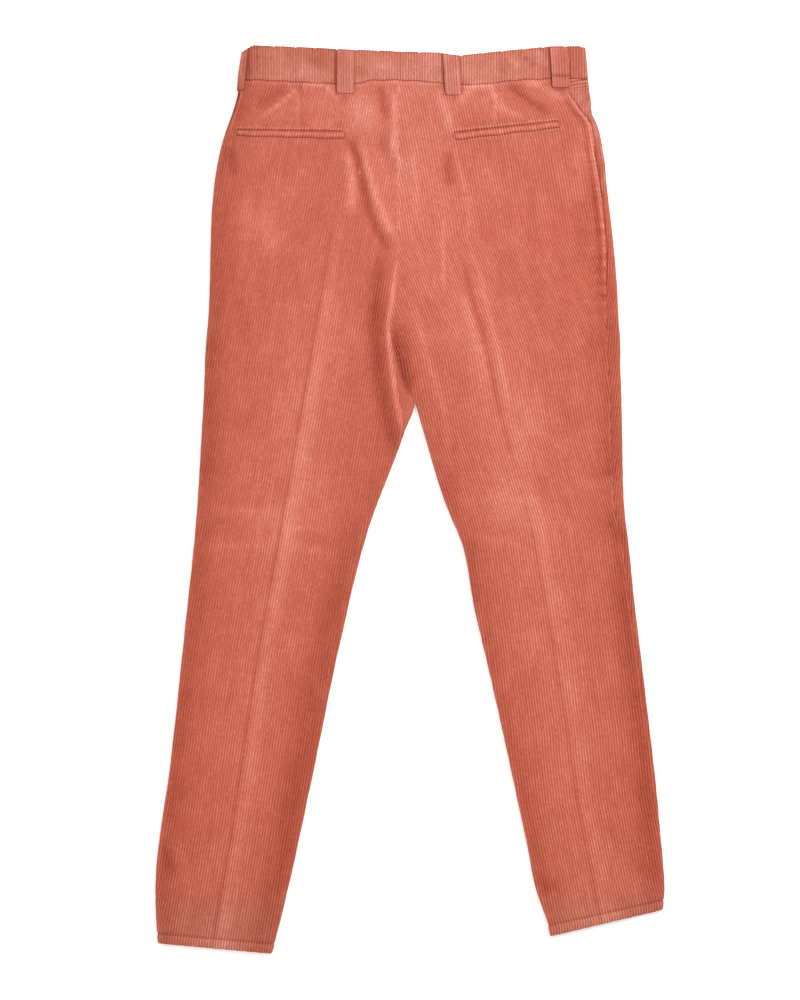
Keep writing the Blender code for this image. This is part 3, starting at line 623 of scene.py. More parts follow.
        # a closed leg goes on round past both ends of the line
        lead = (base_x > width - LEAD_LENGTH) & (shut == 1)
        wrap = (top_x < width - 1e-6) & (top_x > width - WRAP_LENGTH) & (shut == 1)
        x = np.concatenate((base_x[lead], top_x, base_x, top_x[wrap]))
        z = np.concatenate((base_z[lead], top_z, base_z, top_z[wrap]))
        arc = np.concatenate(((0.0,), np.cumsum(np.hypot(np.diff(x), np.diff(z)))))
        start = int(np.sum(lead))
        arc -= arc[start]
        turn_back, end = start + len(top_x), start + len(top_x) + len(base_x)
        parts = {
            "top": (top_x[::-1], arc[start:turn_back][::-1]),
            "base": (base_x, arc[turn_back:end]),
            "wrap": (width - top_x[wrap], arc[end:]),
        }
        trace = self.traces[s] = SimpleNamespace(
            half=self, s=s, row=row, place=place, x=x, z=z, arc=arc, parts=parts, width=width,
            over=over, under=under, end=arc[end - 1], crease=self.crease_distance(row))
        return trace

    def crease_distance(self, row):
        """Distance of the press crease from the outer end of a row."""
        across, up = row.inner_x - row.outer_x, row.inner_y - row.outer_y
        y = row.outer_y
        for _ in range(8):
            share = (curve_x(self.crease, y) - row.outer_x) / across
            y = row.outer_y + share * up
        return share * math.hypot(across, up)

    def relief(self, x, y):
        """Folds and the press crease of the back."""
        away = x - curve_x(self.crease, y)
        steep, gentle = CREASE_WIDTHS
        ridge = np.exp(np.where(away < 0, away / steep, -away / gentle))
        return folds(x, y, FOLD_HEIGHT) + CREASE_HEIGHT * self.pressed(y) * ridge

    def pressed(self, y):
        """Strength of the press crease at level y."""
        start, full, strength = CREASE_STARTS[self.side]
        return strength * smooth((start - y) / (start - full))


def position(trace, part, distance):
    """Arc position of a distance from the outer edge, on the top, the base or the wrap."""
    x, arc = trace.parts[part]
    return float(np.interp(distance, x, arc))


def sample(trace, arcs, offset, slopes_at=None):
    """Points of the row at arc positions, moved out by an offset along the outward normal."""
    arcs = np.asarray(arcs, dtype=float)
    at = arcs if slopes_at is None else slopes_at
    x, z = (np.interp(arcs, trace.arc, line) for line in (trace.x, trace.z))
    dx, dz = (np.interp(at + TANGENT, trace.arc, line) - np.interp(at - TANGENT, trace.arc, line)
              for line in (trace.x, trace.z))
    length = np.maximum(np.hypot(dx, dz), 1e-9)
    px, py = trace.place(x + offset * dz / length)
    return np.stack((px, py, z - offset * dx / length), axis=1)


def edge_bend(trace):
    """Arcs where the outer edge starts to round over and has rounded under."""
    return position(trace, "top", trace.over), position(trace, "base", trace.under)


def top_crease(trace):
    return position(trace, "top", trace.crease)


def base_crease(trace):
    return position(trace, "base", trace.crease)


def mouth_position(trace):
    """Arc position of a front pocket's slanted mouth."""
    table = MOUTH[trace.half.side]
    return position(trace, "top", 0) + float(np.interp(trace.s, range(len(table)), table))


# ======== sheets ========

class Line:
    """The points of one row of a piece of cloth, and how far they are from its seams."""

    def __init__(self, trace, arcs, origin, sign, dart):
        half = self.half = trace.half
        self.trace, self.arcs = trace, arcs
        self.along = np.interp(arcs, trace.arc, trace.x)
        self.x, self.y = trace.place(self.along)
        self.from_dart = self.x - DARTS[half.side][0]
        self.from_crease = (self.along - trace.crease) * (-1 if half.side == "right" else 1)
        self.across = grain_across(self, origin, sign, dart)
        self.crests = 0.5 + 0.5 * np.cos(2 * math.pi * self.across / WALE_PITCH)
        self.from_start, self.to_end = arcs - arcs[0], arcs[-1] - arcs
        self.to_ends = np.minimum(self.from_start, self.to_end)
        self.depth = half.depth(trace.s)
        self.below_waist = self.depth - half.depth(WAIST)
        self.past_stitching = self.depth - half.depth(half.stitching)
        self.to_hem = half.depth(half.last) - self.depth
        self.above_slit = half.depth(POCKET_TOP) - self.depth
        self.below_welt = self.depth - half.depth(POCKET_LOW)
        self.down_welt = half.share(trace.s, POCKET_TOP, POCKET_LOW)


def grain_across(at, origin, sign, dart):
    """Distance across the wales from the crease, which the dart and a slight wander shift."""
    side, x, y = at.half.side, at.x, at.y
    across = sign * (at.arcs - origin)
    if side == "right":
        across = across - sign * (curve_x(at.half.crease, y) - curve_x(RIGHT_GRAIN, y))
    if dart:
        _, upper, lower, taken, turn = DARTS[side]
        outside = at.from_dart < 0 if side == "left" else at.from_dart > 0
        share = np.clip((y - lower) / (upper - lower), 0, 1)
        across = across - outside * taken * share ** turn
    return across + 0.25 * np.sin(y / 31.0 + 0.4) + 0.15 * np.sin(y / 13.0 + x / 50.0)


def bands(at, table):
    """Soft bands along the seams, added up at the points of a line."""
    total = np.zeros(len(at.arcs))
    for measure, strength, on_wales, middle, width in table:
        total += (strength + on_wales * at.crests) * bell(getattr(at, measure) - middle, width)
    return total


def columns(breaks, zones, origin, step):
    """Arc positions of a row's columns and the keys that join them to the next row."""
    arcs, keys = [breaks[0]], [0.0]
    for zone, (start, stop, count) in enumerate(zip(breaks, breaks[1:], zones)):
        if count == 0:
            first = math.ceil((start - origin) / step + GRID_CLEARANCE)
            for k in range(first, math.floor((stop - origin) / step - GRID_CLEARANCE) + 1):
                arcs.append(origin + k * step)
                keys.append(zone * ZONE_KEY + GRID_KEY + k * step)
            count = 1
            start = stop
        for n in range(1, count + 1):
            arcs.append(start + (stop - start) * n / count)
            keys.append(zone * ZONE_KEY + SHARE_KEY + n)
    return np.array(arcs), keys


def join(faces, lower, upper):
    """Triangles between two rows of (key, vertex), matched by key."""
    i = j = 0
    while i < len(lower) - 1 or j < len(upper) - 1:
        a = lower[i + 1][0] if i < len(lower) - 1 else math.inf
        b = upper[j + 1][0] if j < len(upper) - 1 else math.inf
        if a <= b:
            faces.append((lower[i][1], lower[i + 1][1], upper[j][1]))
            i += 1
        if b <= a:
            faces.append((lower[i][1], upper[j + 1][1], upper[j][1]))
            j += 1


def close_rim(faces, rows, end):
    """Triangles along one end of the rows, first (0) or last (-1), between the two faces."""
    for (out, inn), (next_out, next_inn) in zip(rows, rows[1:]):
        a, b, c, d = out[end][1], next_out[end][1], next_inn[end][1], inn[end][1]
        pair = [(a, b, c), (a, c, d)]
        faces.extend(pair if end == 0 else [face[::-1] for face in pair])


def painted_edge_shade(side, y, gap, edge):
    """Painted shade at a distance from a leg's edge, and a painted highlight right on it."""
    middle, width = EDGE_SHADE_BANDS[side][edge]
    rim = EDGE_RIM_HIGHLIGHT if middle < 10 else 0.0
    if edge == "inner":
        rim = rim * smooth((150 - y) / 30)      # above the fork it is a seam, not an edge
    tone = look_up(EDGE_PAINTED_SHADE[side], EDGE_COLUMNS, edge, y)
    return tone * bell(gap - middle, width) + rim * bell(gap, RIM_WIDTH)


def tone_with_painted_light(at, points):
    """Tone at points of the cloth, 0 for the plain cloth, with its painted light and shade."""
    (x, y, z), side = points.T, at.half.side
    edges = (painted_edge_shade(side, y, at.along, "outer")
             + painted_edge_shade(side, y, at.trace.width - at.along, "inner"))
    glow = smooth((320 - y) / 150) * bands(at, CREASE_PAINTED_HIGHLIGHT)
    crease = at.half.pressed(y) * bands(at, CREASE_PAINTED_LIGHT_AND_SHADE) + glow
    patches = np.zeros_like(x)
    for px, py, rx, ry, tone in NAP_AND_PAINTED_LIGHT_PATCHES:
        patches += tone * np.exp(-((x - px) / rx) ** 2 - ((y - py) / ry) ** 2)
    upper = smooth((z - 2.5) / 2)               # the underside lies flat
    return edges + crease + upper * (patches + folds(x, y, FOLD_PAINTED_SHADING))


def loop_shade(at):
    """Painted shadow beside and under the belt loops of the back."""
    total = np.zeros(len(at.arcs))
    for side, face, above, below, width, foot in LOOPS.values():
        if side != at.half.side or face != "back":
            continue
        share = (at.trace.s - LOOP_TOP) / (foot - LOOP_TOP)
        centre = position(at.trace, "top", above + (below - above) * min(share, 1.0))
        past = np.abs(at.arcs - centre) - width / 2
        shaded = at.arcs > centre if side == "left" else at.arcs < centre
        under = at.depth - at.half.depth(foot)
        strength, more = LOOP_SIDE_SHADOWS
        total += (strength + more * shaded) * bell(past - LOOP_SHADE_AT, LOOP_SHADE_WIDTH) * smooth(
            1 - under / 2)
        total += LOOP_FOOT_SHADOW * bell(under - LOOP_SHADE_AT, LOOP_SHADE_WIDTH) * smooth(
            0.5 - past / 2)
    return total


def make_sheet(name, half, material, kind, stations, reach, origin, outside, inside, sign=1,
               dart=False, shift=None, shade=None):
    """One closed piece of cloth, with the wales' lie in a UV map of real metres."""
    points, faces, grain, nap = [], [], [], []
    skins = {"out": [], "in": []}
    out_zones, in_zones, in_step = COLUMNS[kind]
    for s in stations:
        trace = half.trace(s)
        breaks = reach(trace)
        for skin, zones, step in (("out", out_zones, FINE_STEP), ("in", in_zones, in_step)):
            arcs, keys = columns(breaks, zones, origin(trace), step)
            at = Line(trace, arcs, origin(trace), sign, dart)
            slopes = arcs.copy()
            slopes[0] -= SEAM_GAP / 2
            slopes[-1] += SEAM_GAP / 2
            here = sample(trace, arcs, outside(at) if skin == "out" else inside(at), slopes)
            if shift is not None and skin == "out":
                here[:, 1] += shift(at)
            tone = tone_with_painted_light(at, here) + (0.0 if shade is None else shade(at))
            # the tone, with its painted light and shade, and how strongly the wales' painted
            # highlight shows
            nap.extend(zip(0.5 + tone, look_up(WALE_HIGHLIGHT_STRENGTH, CLEAR_COLUMNS, half.side, here[:, 1])))
            grain.extend((a * MM, at.depth * MM) for a in at.across)
            skins[skin].append([(key, len(points) + n) for n, key in enumerate(keys)])
            points.extend(here)
    for lower, upper in zip(skins["out"], skins["out"][1:]):
        join(faces, lower, upper)
    for lower, upper in zip(skins["in"], skins["in"][1:]):
        join(faces, upper, lower)
    join(faces, skins["in"][0], skins["out"][0])
    join(faces, skins["out"][-1], skins["in"][-1])
    rows = list(zip(skins["out"], skins["in"]))
    close_rim(faces, rows, 0)
    close_rim(faces, rows, -1)
    if half.side == "right":
        faces = [face[::-1] for face in faces]
    maps = {"grain": grain, "nap": nap}
    return make_piece("cloth_" + name, points, faces, material, maps, replaces=name)


def make_piece(name, points, faces, material, maps=None, replaces=None):
    """A mesh object from points in millimetres, riding on the garment."""
    mesh = bpy.data.meshes.new(name)
    mesh.from_pydata((np.array(points) * MM).tolist(), [], faces)
    mesh.materials.append(material)
    corners = np.zeros(len(mesh.loops), dtype=np.int32)
    mesh.loops.foreach_get("vertex_index", corners)
    for title, values in (maps or {}).items():
        layer = mesh.uv_layers.new(name=title)
        layer.data.foreach_set("uv", np.array(values)[corners].ravel())
    mesh.shade_smooth()
    mesh.set_sharp_from_angle(angle=math.radians(60))
    piece = bpy.data.objects.new(name, mesh)
    bpy.context.scene.collection.objects.link(piece)
    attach(piece, "root")
    if replaces:
        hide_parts(replaces)
    return piece


def panel_stations(half, near=()):
    lines = [(WAIST, WAIST_ROWS), (POCKET_TOP, POCKET_ROWS), (half.stitching, STITCHING_ROWS),
             (half.last, HEM_ROWS), *near]
    if half.side == "right":
        lines.append((POCKET_TOP, PUCKER_ROWS))
    return half.stations(half.after(WAIST, SEAM_GAP), half.last, ROW_STEP, lines)


def row_dips(at):
    """The cloth turns down at the waist seam and round the hem, which stands up between."""
    puff = HEM_PUFF * smooth(at.past_stitching / 3) * smooth(at.to_hem / 3)
    return bands(at, ROW_DIPS) + puff


def row_shade(at):
    """Painted light and shade at the waist seam and hem stitching; a paler hem with wale stubs."""
    plain, on_wales = HEM_TONES
    return bands(at, ROW_PAINTED_LIGHT_AND_SHADE) + smooth(at.past_stitching / 2) * (plain + on_wales * at.crests)


def hem_stubs(at):
    """The wales run over the fold of the hem and make its edge slightly wavy."""
    return -HEM_WAVE * at.crests * smooth(1 - at.to_hem / 3)


def along_welt(at):
    """1 over the length of a back pocket, and 0 outside it."""
    start, stop = (position(at.trace, "top", end) for end in WELTS[at.half.side][0][::-1])
    return between(at.arcs, start - 2, 4, stop + 2, 4)


def side_roll(at):
    """How far the right hip's seam stands up, from 0 to 1."""
    return between(at.trace.row.outer_y, *ROLL_LEVELS) if at.half.side == "right" else 0.0


def puckers(at):
    """Short ripples where the right side seam draws the cloth in."""
    if at.half.side == "left":
        return 0.0
    y = at.trace.row.outer_y
    low, high = between(y, *LOW_PUCKERS), between(y, *HIGH_PUCKERS)
    coarse = 0.55 * low * math.sin(y * 0.42)
    fine = (0.22 * low + 0.34 * high) * math.sin(y * 1.1 + 1.5 * math.sin(y / 9))
    return (coarse + fine) * np.exp(-at.to_end / PUCKER_REACH)


def panel_inside(at):
    """The turned-up hem is thicker than the panel."""
    past = at.depth - at.half.depth(at.half.stitching - 1)
    return -WALL - smooth(past / HEM_FADE) * (HEM_WALL - WALL)


def plain_inside(at):
    return -WALL


def make_back(half, material):
    def reach(trace):
        a0 = position(trace, "top", trace.width - trace.row.inseam) + SEAM_GAP / 2
        a1 = position(trace, "top", trace.row.side) - SEAM_GAP / 2
        return a0, a0 + 9, min(edge_bend(trace)[0], a1 - 3), a1

    def outside(at):
        return (WALE_HEIGHT * at.crests + bands(at, SEAM_DIPS) + row_dips(at)
                + side_roll(at) * bands(at, SIDE_ROLL) + along_welt(at) * bands(at, LIPS)
                + puckers(at))

    def shade(at):
        """Painted highlight along seams and pocket lips; painted light and shade of puckers at the
        dart.
        """
        upper, lower = DARTS[half.side][1:3]
        rungs = RUNG_PAINTED_SHADING * np.sin(2 * math.pi * at.y / RUNG_PITCH) * bell(at.from_dart, RUNG_WIDTH)
        tone = between(at.y, lower, 4, upper, 4) * (rungs + bands(at, DART_SHADE))
        if half.side == "left":
            tone = tone + between(at.y, *LEFT_HIP) * bands(at, LEFT_HIP_PAINTED_LIGHT_AND_SHADE)
        return (tone + bands(at, SEAM_EDGE_PAINTED_HIGHLIGHT) + side_roll(at) * bands(at, ROLL_PAINTED_LIGHT_AND_SHADE)
                + along_welt(at) * bands(at, LIP_PAINTED_LIGHT_AND_SHADE) + PUCKER_PAINTED_SHADING * puckers(at)
                + row_shade(at) + loop_shade(at))

    return make_sheet("back_" + half.side, half, material, "back", panel_stations(half), reach,
                      top_crease, outside, panel_inside, sign=-1, dart=True, shift=hem_stubs,
                      shade=shade)


def make_front(half, material):
    def reach(trace):
        a0 = position(trace, "top", trace.row.side)
        if trace.s <= POCKET_FOOT:
            a0 = mouth_position(trace)
        a0 += SEAM_GAP / 2
        a1 = trace.end - SEAM_GAP / 2
        if trace.row.inseam > 0.3:
            a1 = position(trace, "wrap", trace.row.inseam) - SEAM_GAP / 2
        b0 = max(position(trace, "base", trace.under), a0 + 2)
        b1 = position(trace, "base", trace.width - trace.under - 1)
        return a0, b0, b1, a1

    def outside(at):
        dips = np.minimum(0.0, row_dips(at)) + bands(at, FRONT_DIPS)
        return WALE_HEIGHT * (at.crests - 1) + dips

    def shade(at):
        """Painted shade in the groove where the right side seam lies; paler along the mouth."""
        if at.trace.s <= POCKET_FOOT:
            return bands(at, MOUTH_TONES) + row_shade(at)
        return side_roll(at) * bands(at, GROOVE_PAINTED_SHADE) + row_shade(at)

    return make_sheet("front_" + half.side, half, material, "front",
                      panel_stations(half, [(POCKET_FOOT, FOOT_ROWS)]), reach, base_crease,
                      outside, panel_inside, shift=hem_stubs, shade=shade)


def make_facing(half, material):
    """The cloth behind the slanted mouth of a front pocket, sewn to the side seam."""
    def reach(trace):
        a0 = position(trace, "top", trace.row.side) + SEAM_GAP / 2
        a1 = mouth_position(trace) - SEAM_GAP / 2
        tenth = (a1 - a0) / 10
        over, under = edge_bend(trace)
        b0 = min(max(over, a0 + tenth), a0 + 6 * tenth)
        b1 = min(max(under, b0 + tenth), a1 - tenth)
        return a0, b0, b1, a1

    def outside(at):
        set_back = MOUTH_SET_BACK * smooth((at.arcs - mouth_position(at.trace) + 7) / 5)
        under = smooth((at.arcs - edge_bend(at.trace)[1] + 6) / 6)
        return WALE_HEIGHT * (at.crests - under) - set_back + bands(at, FACING_DIPS)

    # painted light and shade of gathers under the waistband, which the form lacks, and painted
    # shade by the roll
    def shade(at):
        gathers = GATHER_PAINTED_SHADING + GATHER_TOP_PAINTED_SHADING * smooth(1 - at.below_waist / GATHER_REACH)
        gathers = gathers * np.sin(at.below_waist * 1.5 + 0.3 * at.across)
        return row_shade(at) + gathers + side_roll(at) * bands(at, FACING_PAINTED_SHADE)

    stations = half.stations(half.after(WAIST, SEAM_GAP), POCKET_FOOT, FACING_STEP,
                             [(WAIST, GATHER_ROWS)])
    return make_sheet("pocket_facing_" + half.side, half, material, "facing", stations, reach,
                      base_crease, outside, plain_inside, shade=shade)


def make_waistband(half, material):
    length = half.depth(WAIST)

    def reach(trace):
        a0, a1 = SEAM_GAP / 2, trace.end - SEAM_GAP / 2
        return a0, a0 + 3, *edge_bend(trace), a1 - 3, a1

    def fold(at):
        """Share of the wall's thickness left near the rounded top and bottom edges."""
        edge = min(at.depth, -at.below_waist * 1.4)
        return math.sqrt(max(0.01, 1 - (1 - min(1.0, edge / 1.5)) ** 2))

    def outside(at):
        lie = np.where(at.arcs > edge_bend(at.trace)[1], -1, 0)
        return ((fold(at) - 1) * BAND_WALL / 2 + WALE_HEIGHT * (at.crests + lie)
                + bands(at, SEAM_DIPS))

    def inside(at):
        return -BAND_WALL / 2 * (1 + fold(at))

    def shift(at):
        """The wales run over the folded upper edge and make it slightly wavy."""
        on_back = smooth((edge_bend(at.trace)[0] - at.across) / 4)
        return BAND_WAVE * at.crests * smooth((3 - at.depth) / 3) * on_back

    def shade(at):
        """Painted shade where the band turns in to its seam and at its upper edge, in stubs of
        wale.
        """
        return bands(at, BAND_PAINTED_LIGHT_AND_SHADE) + loop_shade(at)

    depths = (0, 0.25, 0.6, 1.1, 1.7, 5, 11, 17, 23, 29, length - 1.6, length - 0.9, length - 0.4,
              length)
    return make_sheet("waistband_" + half.side, half, material, "waistband",
                      [half.station(depth) for depth in depths], reach, lambda trace: 0.0,
                      outside, inside, shift=shift, shade=shade)


def make_welt(half, material):
    """A pocket's welt: low in the slit, then a rolled ridge that turns down to the lower seam."""
    wave, length, waver = WELT_WAVES[half.side]

    def reach(trace):
        down = half.share(trace.s, POCKET_TOP, POCKET_LOW)
        near, far = (a + (b - a) * down for a, b in zip(*WELTS[half.side]))
        a0, a1 = position(trace, "top", far), position(trace, "top", near)
        return a0, a0 + 3, a1 - 3, a1

    def outside(at):
        ridge = 1 - ((at.down_welt - RIDGE_AT) / (1 - RIDGE_AT)) ** 2
        crown = 0.06 + 0.94 * math.sqrt(max(0.0, ridge))
        ends = np.sqrt(smooth(at.to_ends / 3) * 0.98 + 0.02)
        height = TAB_WALL - WELT_PILE * (2 - at.crests) + wave * np.sin(at.arcs / length)
        return inside(at) + 0.12 + ends * crown * height

    def inside(at):
        return ON_PANEL * smooth(at.to_ends / 2)

    # painted shade in the slit and at the lower seam, painted highlight on the ridge
    def shade(at):
        return bands(at, WELT_PAINTED_LIGHT_AND_SHADE)

    def shift(at):
        """The ridge and its lower seam waver, most on the right."""
        amount = waver * smooth(at.down_welt / 0.5)
        return -amount * (at.crests + 0.8 * np.sin(at.across / 6.5))

    stations = half.stations(POCKET_TOP, POCKET_LOW, WELT_STEP)
    return make_sheet("back_pocket_welt_" + half.side, half, material, "welt", stations, reach,
                      top_crease, outside, inside, sign=-1, shift=shift, shade=shade)


def make_loop(name, half, face, above, below, width, foot, material):
    """A belt loop: tacked above and below the waistband, and standing off it between."""
    start, stop = half.depth(LOOP_TOP), half.depth(foot)

    def share(trace):
        return (trace.s - LOOP_TOP) / (foot - LOOP_TOP)

    def reach(trace):
        distance = above + (below - above) * share(trace)
        centre = position(trace, "base" if face == "front" else "top", distance)
        tip = min(1.2, max(0.0, 1.5 - (stop - half.depth(trace.s))))
        reach_out = width / 2 - tip
        if face == "edge":
            centre += LOOP_ROUND_EDGE
            return centre - reach_out, *edge_bend(trace), centre + reach_out
        a0, a1 = centre - reach_out, centre + reach_out
        return a0, a0 + 2, a1 - 2, a1

    def pressed(at):
        """Where one loop is pressed in along the band's seam."""
        return bell(at.below_waist + 3.0, 1.2) if name == "belt_loop_side_right" else 0.0

    def inside(at):
        top = smooth((position(at.trace, "top", 0) + 2 - at.arcs) / 5)
        rise = WALE_HEIGHT + LOOP_RISE * math.sin(math.pi * share(at.trace))
        return SEAM_GAP + top * rise

    def outside(at):
        ends = min(at.depth - start, stop - at.depth)
        crown = np.sqrt(np.clip(1 - (1 - np.minimum(1, at.to_ends / 1.4)) ** 2, 0.08, 1))
        crown = crown * math.sqrt(max(0.08, 1 - (1 - min(1, ends / 1.3)) ** 2))
        ribs = WALE_HEIGHT * 0.8 * (at.crests - 1)
        return (inside(at) + TAB_WALL * crown + ribs * (crown > 0.9)
                - LOOP_PRESS * pressed(at))

    def middle(trace):
        ends = reach(trace)
        return (ends[0] + ends[-1]) / 2

    def shade(at):
        """Painted highlight on the folded sides, painted shade at their edges and where a loop is
        pressed in.
        """
        return bands(at, LOOP_PAINTED_LIGHT_AND_SHADE) + LOOP_PRESS_SHADE * pressed(at)

    depths = [start + down for down in LOOP_ROWS if start + down < stop - 2]
    stations = [half.station(depth) for depth in
                (*depths, stop - 1.5, stop - 0.8, stop - 0.3, stop)]
    return make_sheet(name, half, material, "edge loop" if face == "edge" else "loop", stations,
                      reach, middle, outside, inside, shade=shade)


# ======== sewing ========

def stitch_form(start, end, up, points, faces):
    """One stitch: a five-sided thread, thin where it dives into the cloth at both ends."""
    along = end - start
    side = np.cross(along, up)
    side = side / np.linalg.norm(side)
    up = np.cross(side, along) / np.linalg.norm(along)
    first = len(points)
    for share, thick, lift in STITCH_RINGS:
        for turn in np.linspace(0, 2 * math.pi, THREAD_SIDES, endpoint=False):
            reach = THREAD * thick
            points.append(start + along * share + up * (reach * math.sin(turn) + THREAD * lift)
                          + side * reach * math.cos(turn))
    for ring in range(len(STITCH_RINGS) - 1):
        for n in range(THREAD_SIDES):
            a, b = (first + ring * THREAD_SIDES + k % THREAD_SIDES for k in (n, n + 1))
            faces.append((a, b, b + THREAD_SIDES, a + THREAD_SIDES))
    faces.append(tuple(range(first, first + THREAD_SIDES))[::-1])
    faces.append(tuple(range(len(points) - THREAD_SIDES, len(points))))


def stitches_across(half, s, start, stop, offset, points, faces, length=STITCH):
    """A row of stitches along row s, between two arcs, at an offset from the tube."""
    trace = half.trace(s)
    count = max(1, round((stop - start) / (length + STITCH_GAP)))
    step = (stop - start) / count
    for n in range(count):
        arcs = start + step * n + np.array((0.5 * STITCH_GAP, step - 0.5 * STITCH_GAP))
        low, high = sample(trace, arcs, offset)
        above = sample(trace, arcs, offset + 1)[0] - low
        stitch_form(low, high, above, points, faces)


def stitches_down(half, first, final, place, offset, points, faces):
    """A run of stitches down the cloth, at place(trace) in each row."""
    length = half.depth(final) - half.depth(first)
    count = round(length / (STITCH + STITCH_GAP))
    for n in range(count):
        ends = []
        for edge in (n + 0.12, n + 0.88):
            trace = half.trace(half.after(first, length * edge / count))
            ends.append(sample(trace, [place(trace)], offset)[0])
            above = sample(trace, [place(trace)], offset + 1)[0] - ends[-1]
        stitch_form(*ends, above, points, faces)


def sew(half, material):
    """Stitches of one side, in cotton thread of the cloth's colour."""
    points, faces = [], []
    # hem, all round the leg
    trace = half.trace(half.stitching)
    over, under = edge_bend(trace)
    stitches_across(half, half.stitching, 1.0, over, 0.12, points, faces)
    stitches_across(half, half.stitching, under, trace.end - 1.0, UNDER, points, faces)
    # bar tacks at both ends of the back pocket
    above, below = WELTS[half.side]
    for end, outward in ((0, -1), (1, 1)):
        for share in np.linspace(0.12, 0.88, 8):
            s = POCKET_TOP + share
            distance = above[end] + (below[end] - above[end]) * share + outward * TACK
            centre = position(half.trace(s), "top", distance)
            stitches_across(half, s, centre - TACK, centre + TACK, WALE_HEIGHT + 0.15, points,
                            faces, 2.0)

    # edge of the front pocket's mouth
    def beside_mouth(trace):
        return mouth_position(trace) + 6.0
    stitches_down(half, half.after(WAIST, 3.0), POCKET_FOOT, beside_mouth, 0.0, points, faces)

    # stitched curve beside the fly, on one side only
    def beside_fly(trace):
        down = (half.depth(trace.s) - half.depth(WAIST)) / FLY_LENGTH
        return trace.end - 1.5 - FLY_WIDTH * math.sqrt(max(0.0, 1 - max(0.0, down) ** 5))
    if half.side == "left":
        stitches_down(half, half.after(WAIST, 2.0), half.after(WAIST, FLY_LENGTH), beside_fly,
                      UNDER, points, faces)
    make_piece("stitches_" + half.side, points, faces, material)


# ======== materials ========

def linear(hex_colour):
    """Linear RGBA of an sRGB hex colour."""
    parts = [int(hex_colour[n:n + 2], 16) / 255 for n in (1, 3, 5)]
    return *(c / 12.92 if c <= 0.04045 else ((c + 0.055) / 1.055) ** 2.4 for c in parts), 1.0


def add(tree, kind, links=None, values=None, **settings):
    """Add a node with its settings, its constant inputs and its links."""
    node = tree.nodes.new("ShaderNode" + kind)
    for name, value in settings.items():
        setattr(node, name, value)
    for name, value in (values or {}).items():
        node.inputs[name].default_value = value
    for name, socket in (links or {}).items():
        tree.links.new(socket, node.inputs[name])
    return node


def new_material(name, **inputs):
    """A material, its nodes and its shader, whose plain inputs are set by name."""
    material = bpy.data.materials.new(name)
    material.use_nodes = True
    shader = material.node_tree.nodes["Principled BSDF"]
    for title, value in inputs.items():
        shader.inputs[title.replace("_", " ")].default_value = value
    return material, material.node_tree, shader


def colour_steps(tree, value, shades):
    """Colour of a value from (place, sRGB hex colour) steps."""
    ramp = add(tree, "ValToRGB", {"Fac": value})
    steps = ramp.color_ramp.elements
    while len(steps) < len(shades):
        steps.new(0.5)
    for step, (place, shade) in zip(steps, shades):
        step.position = place
        step.color = linear(shade)
    return ramp.outputs["Color"]


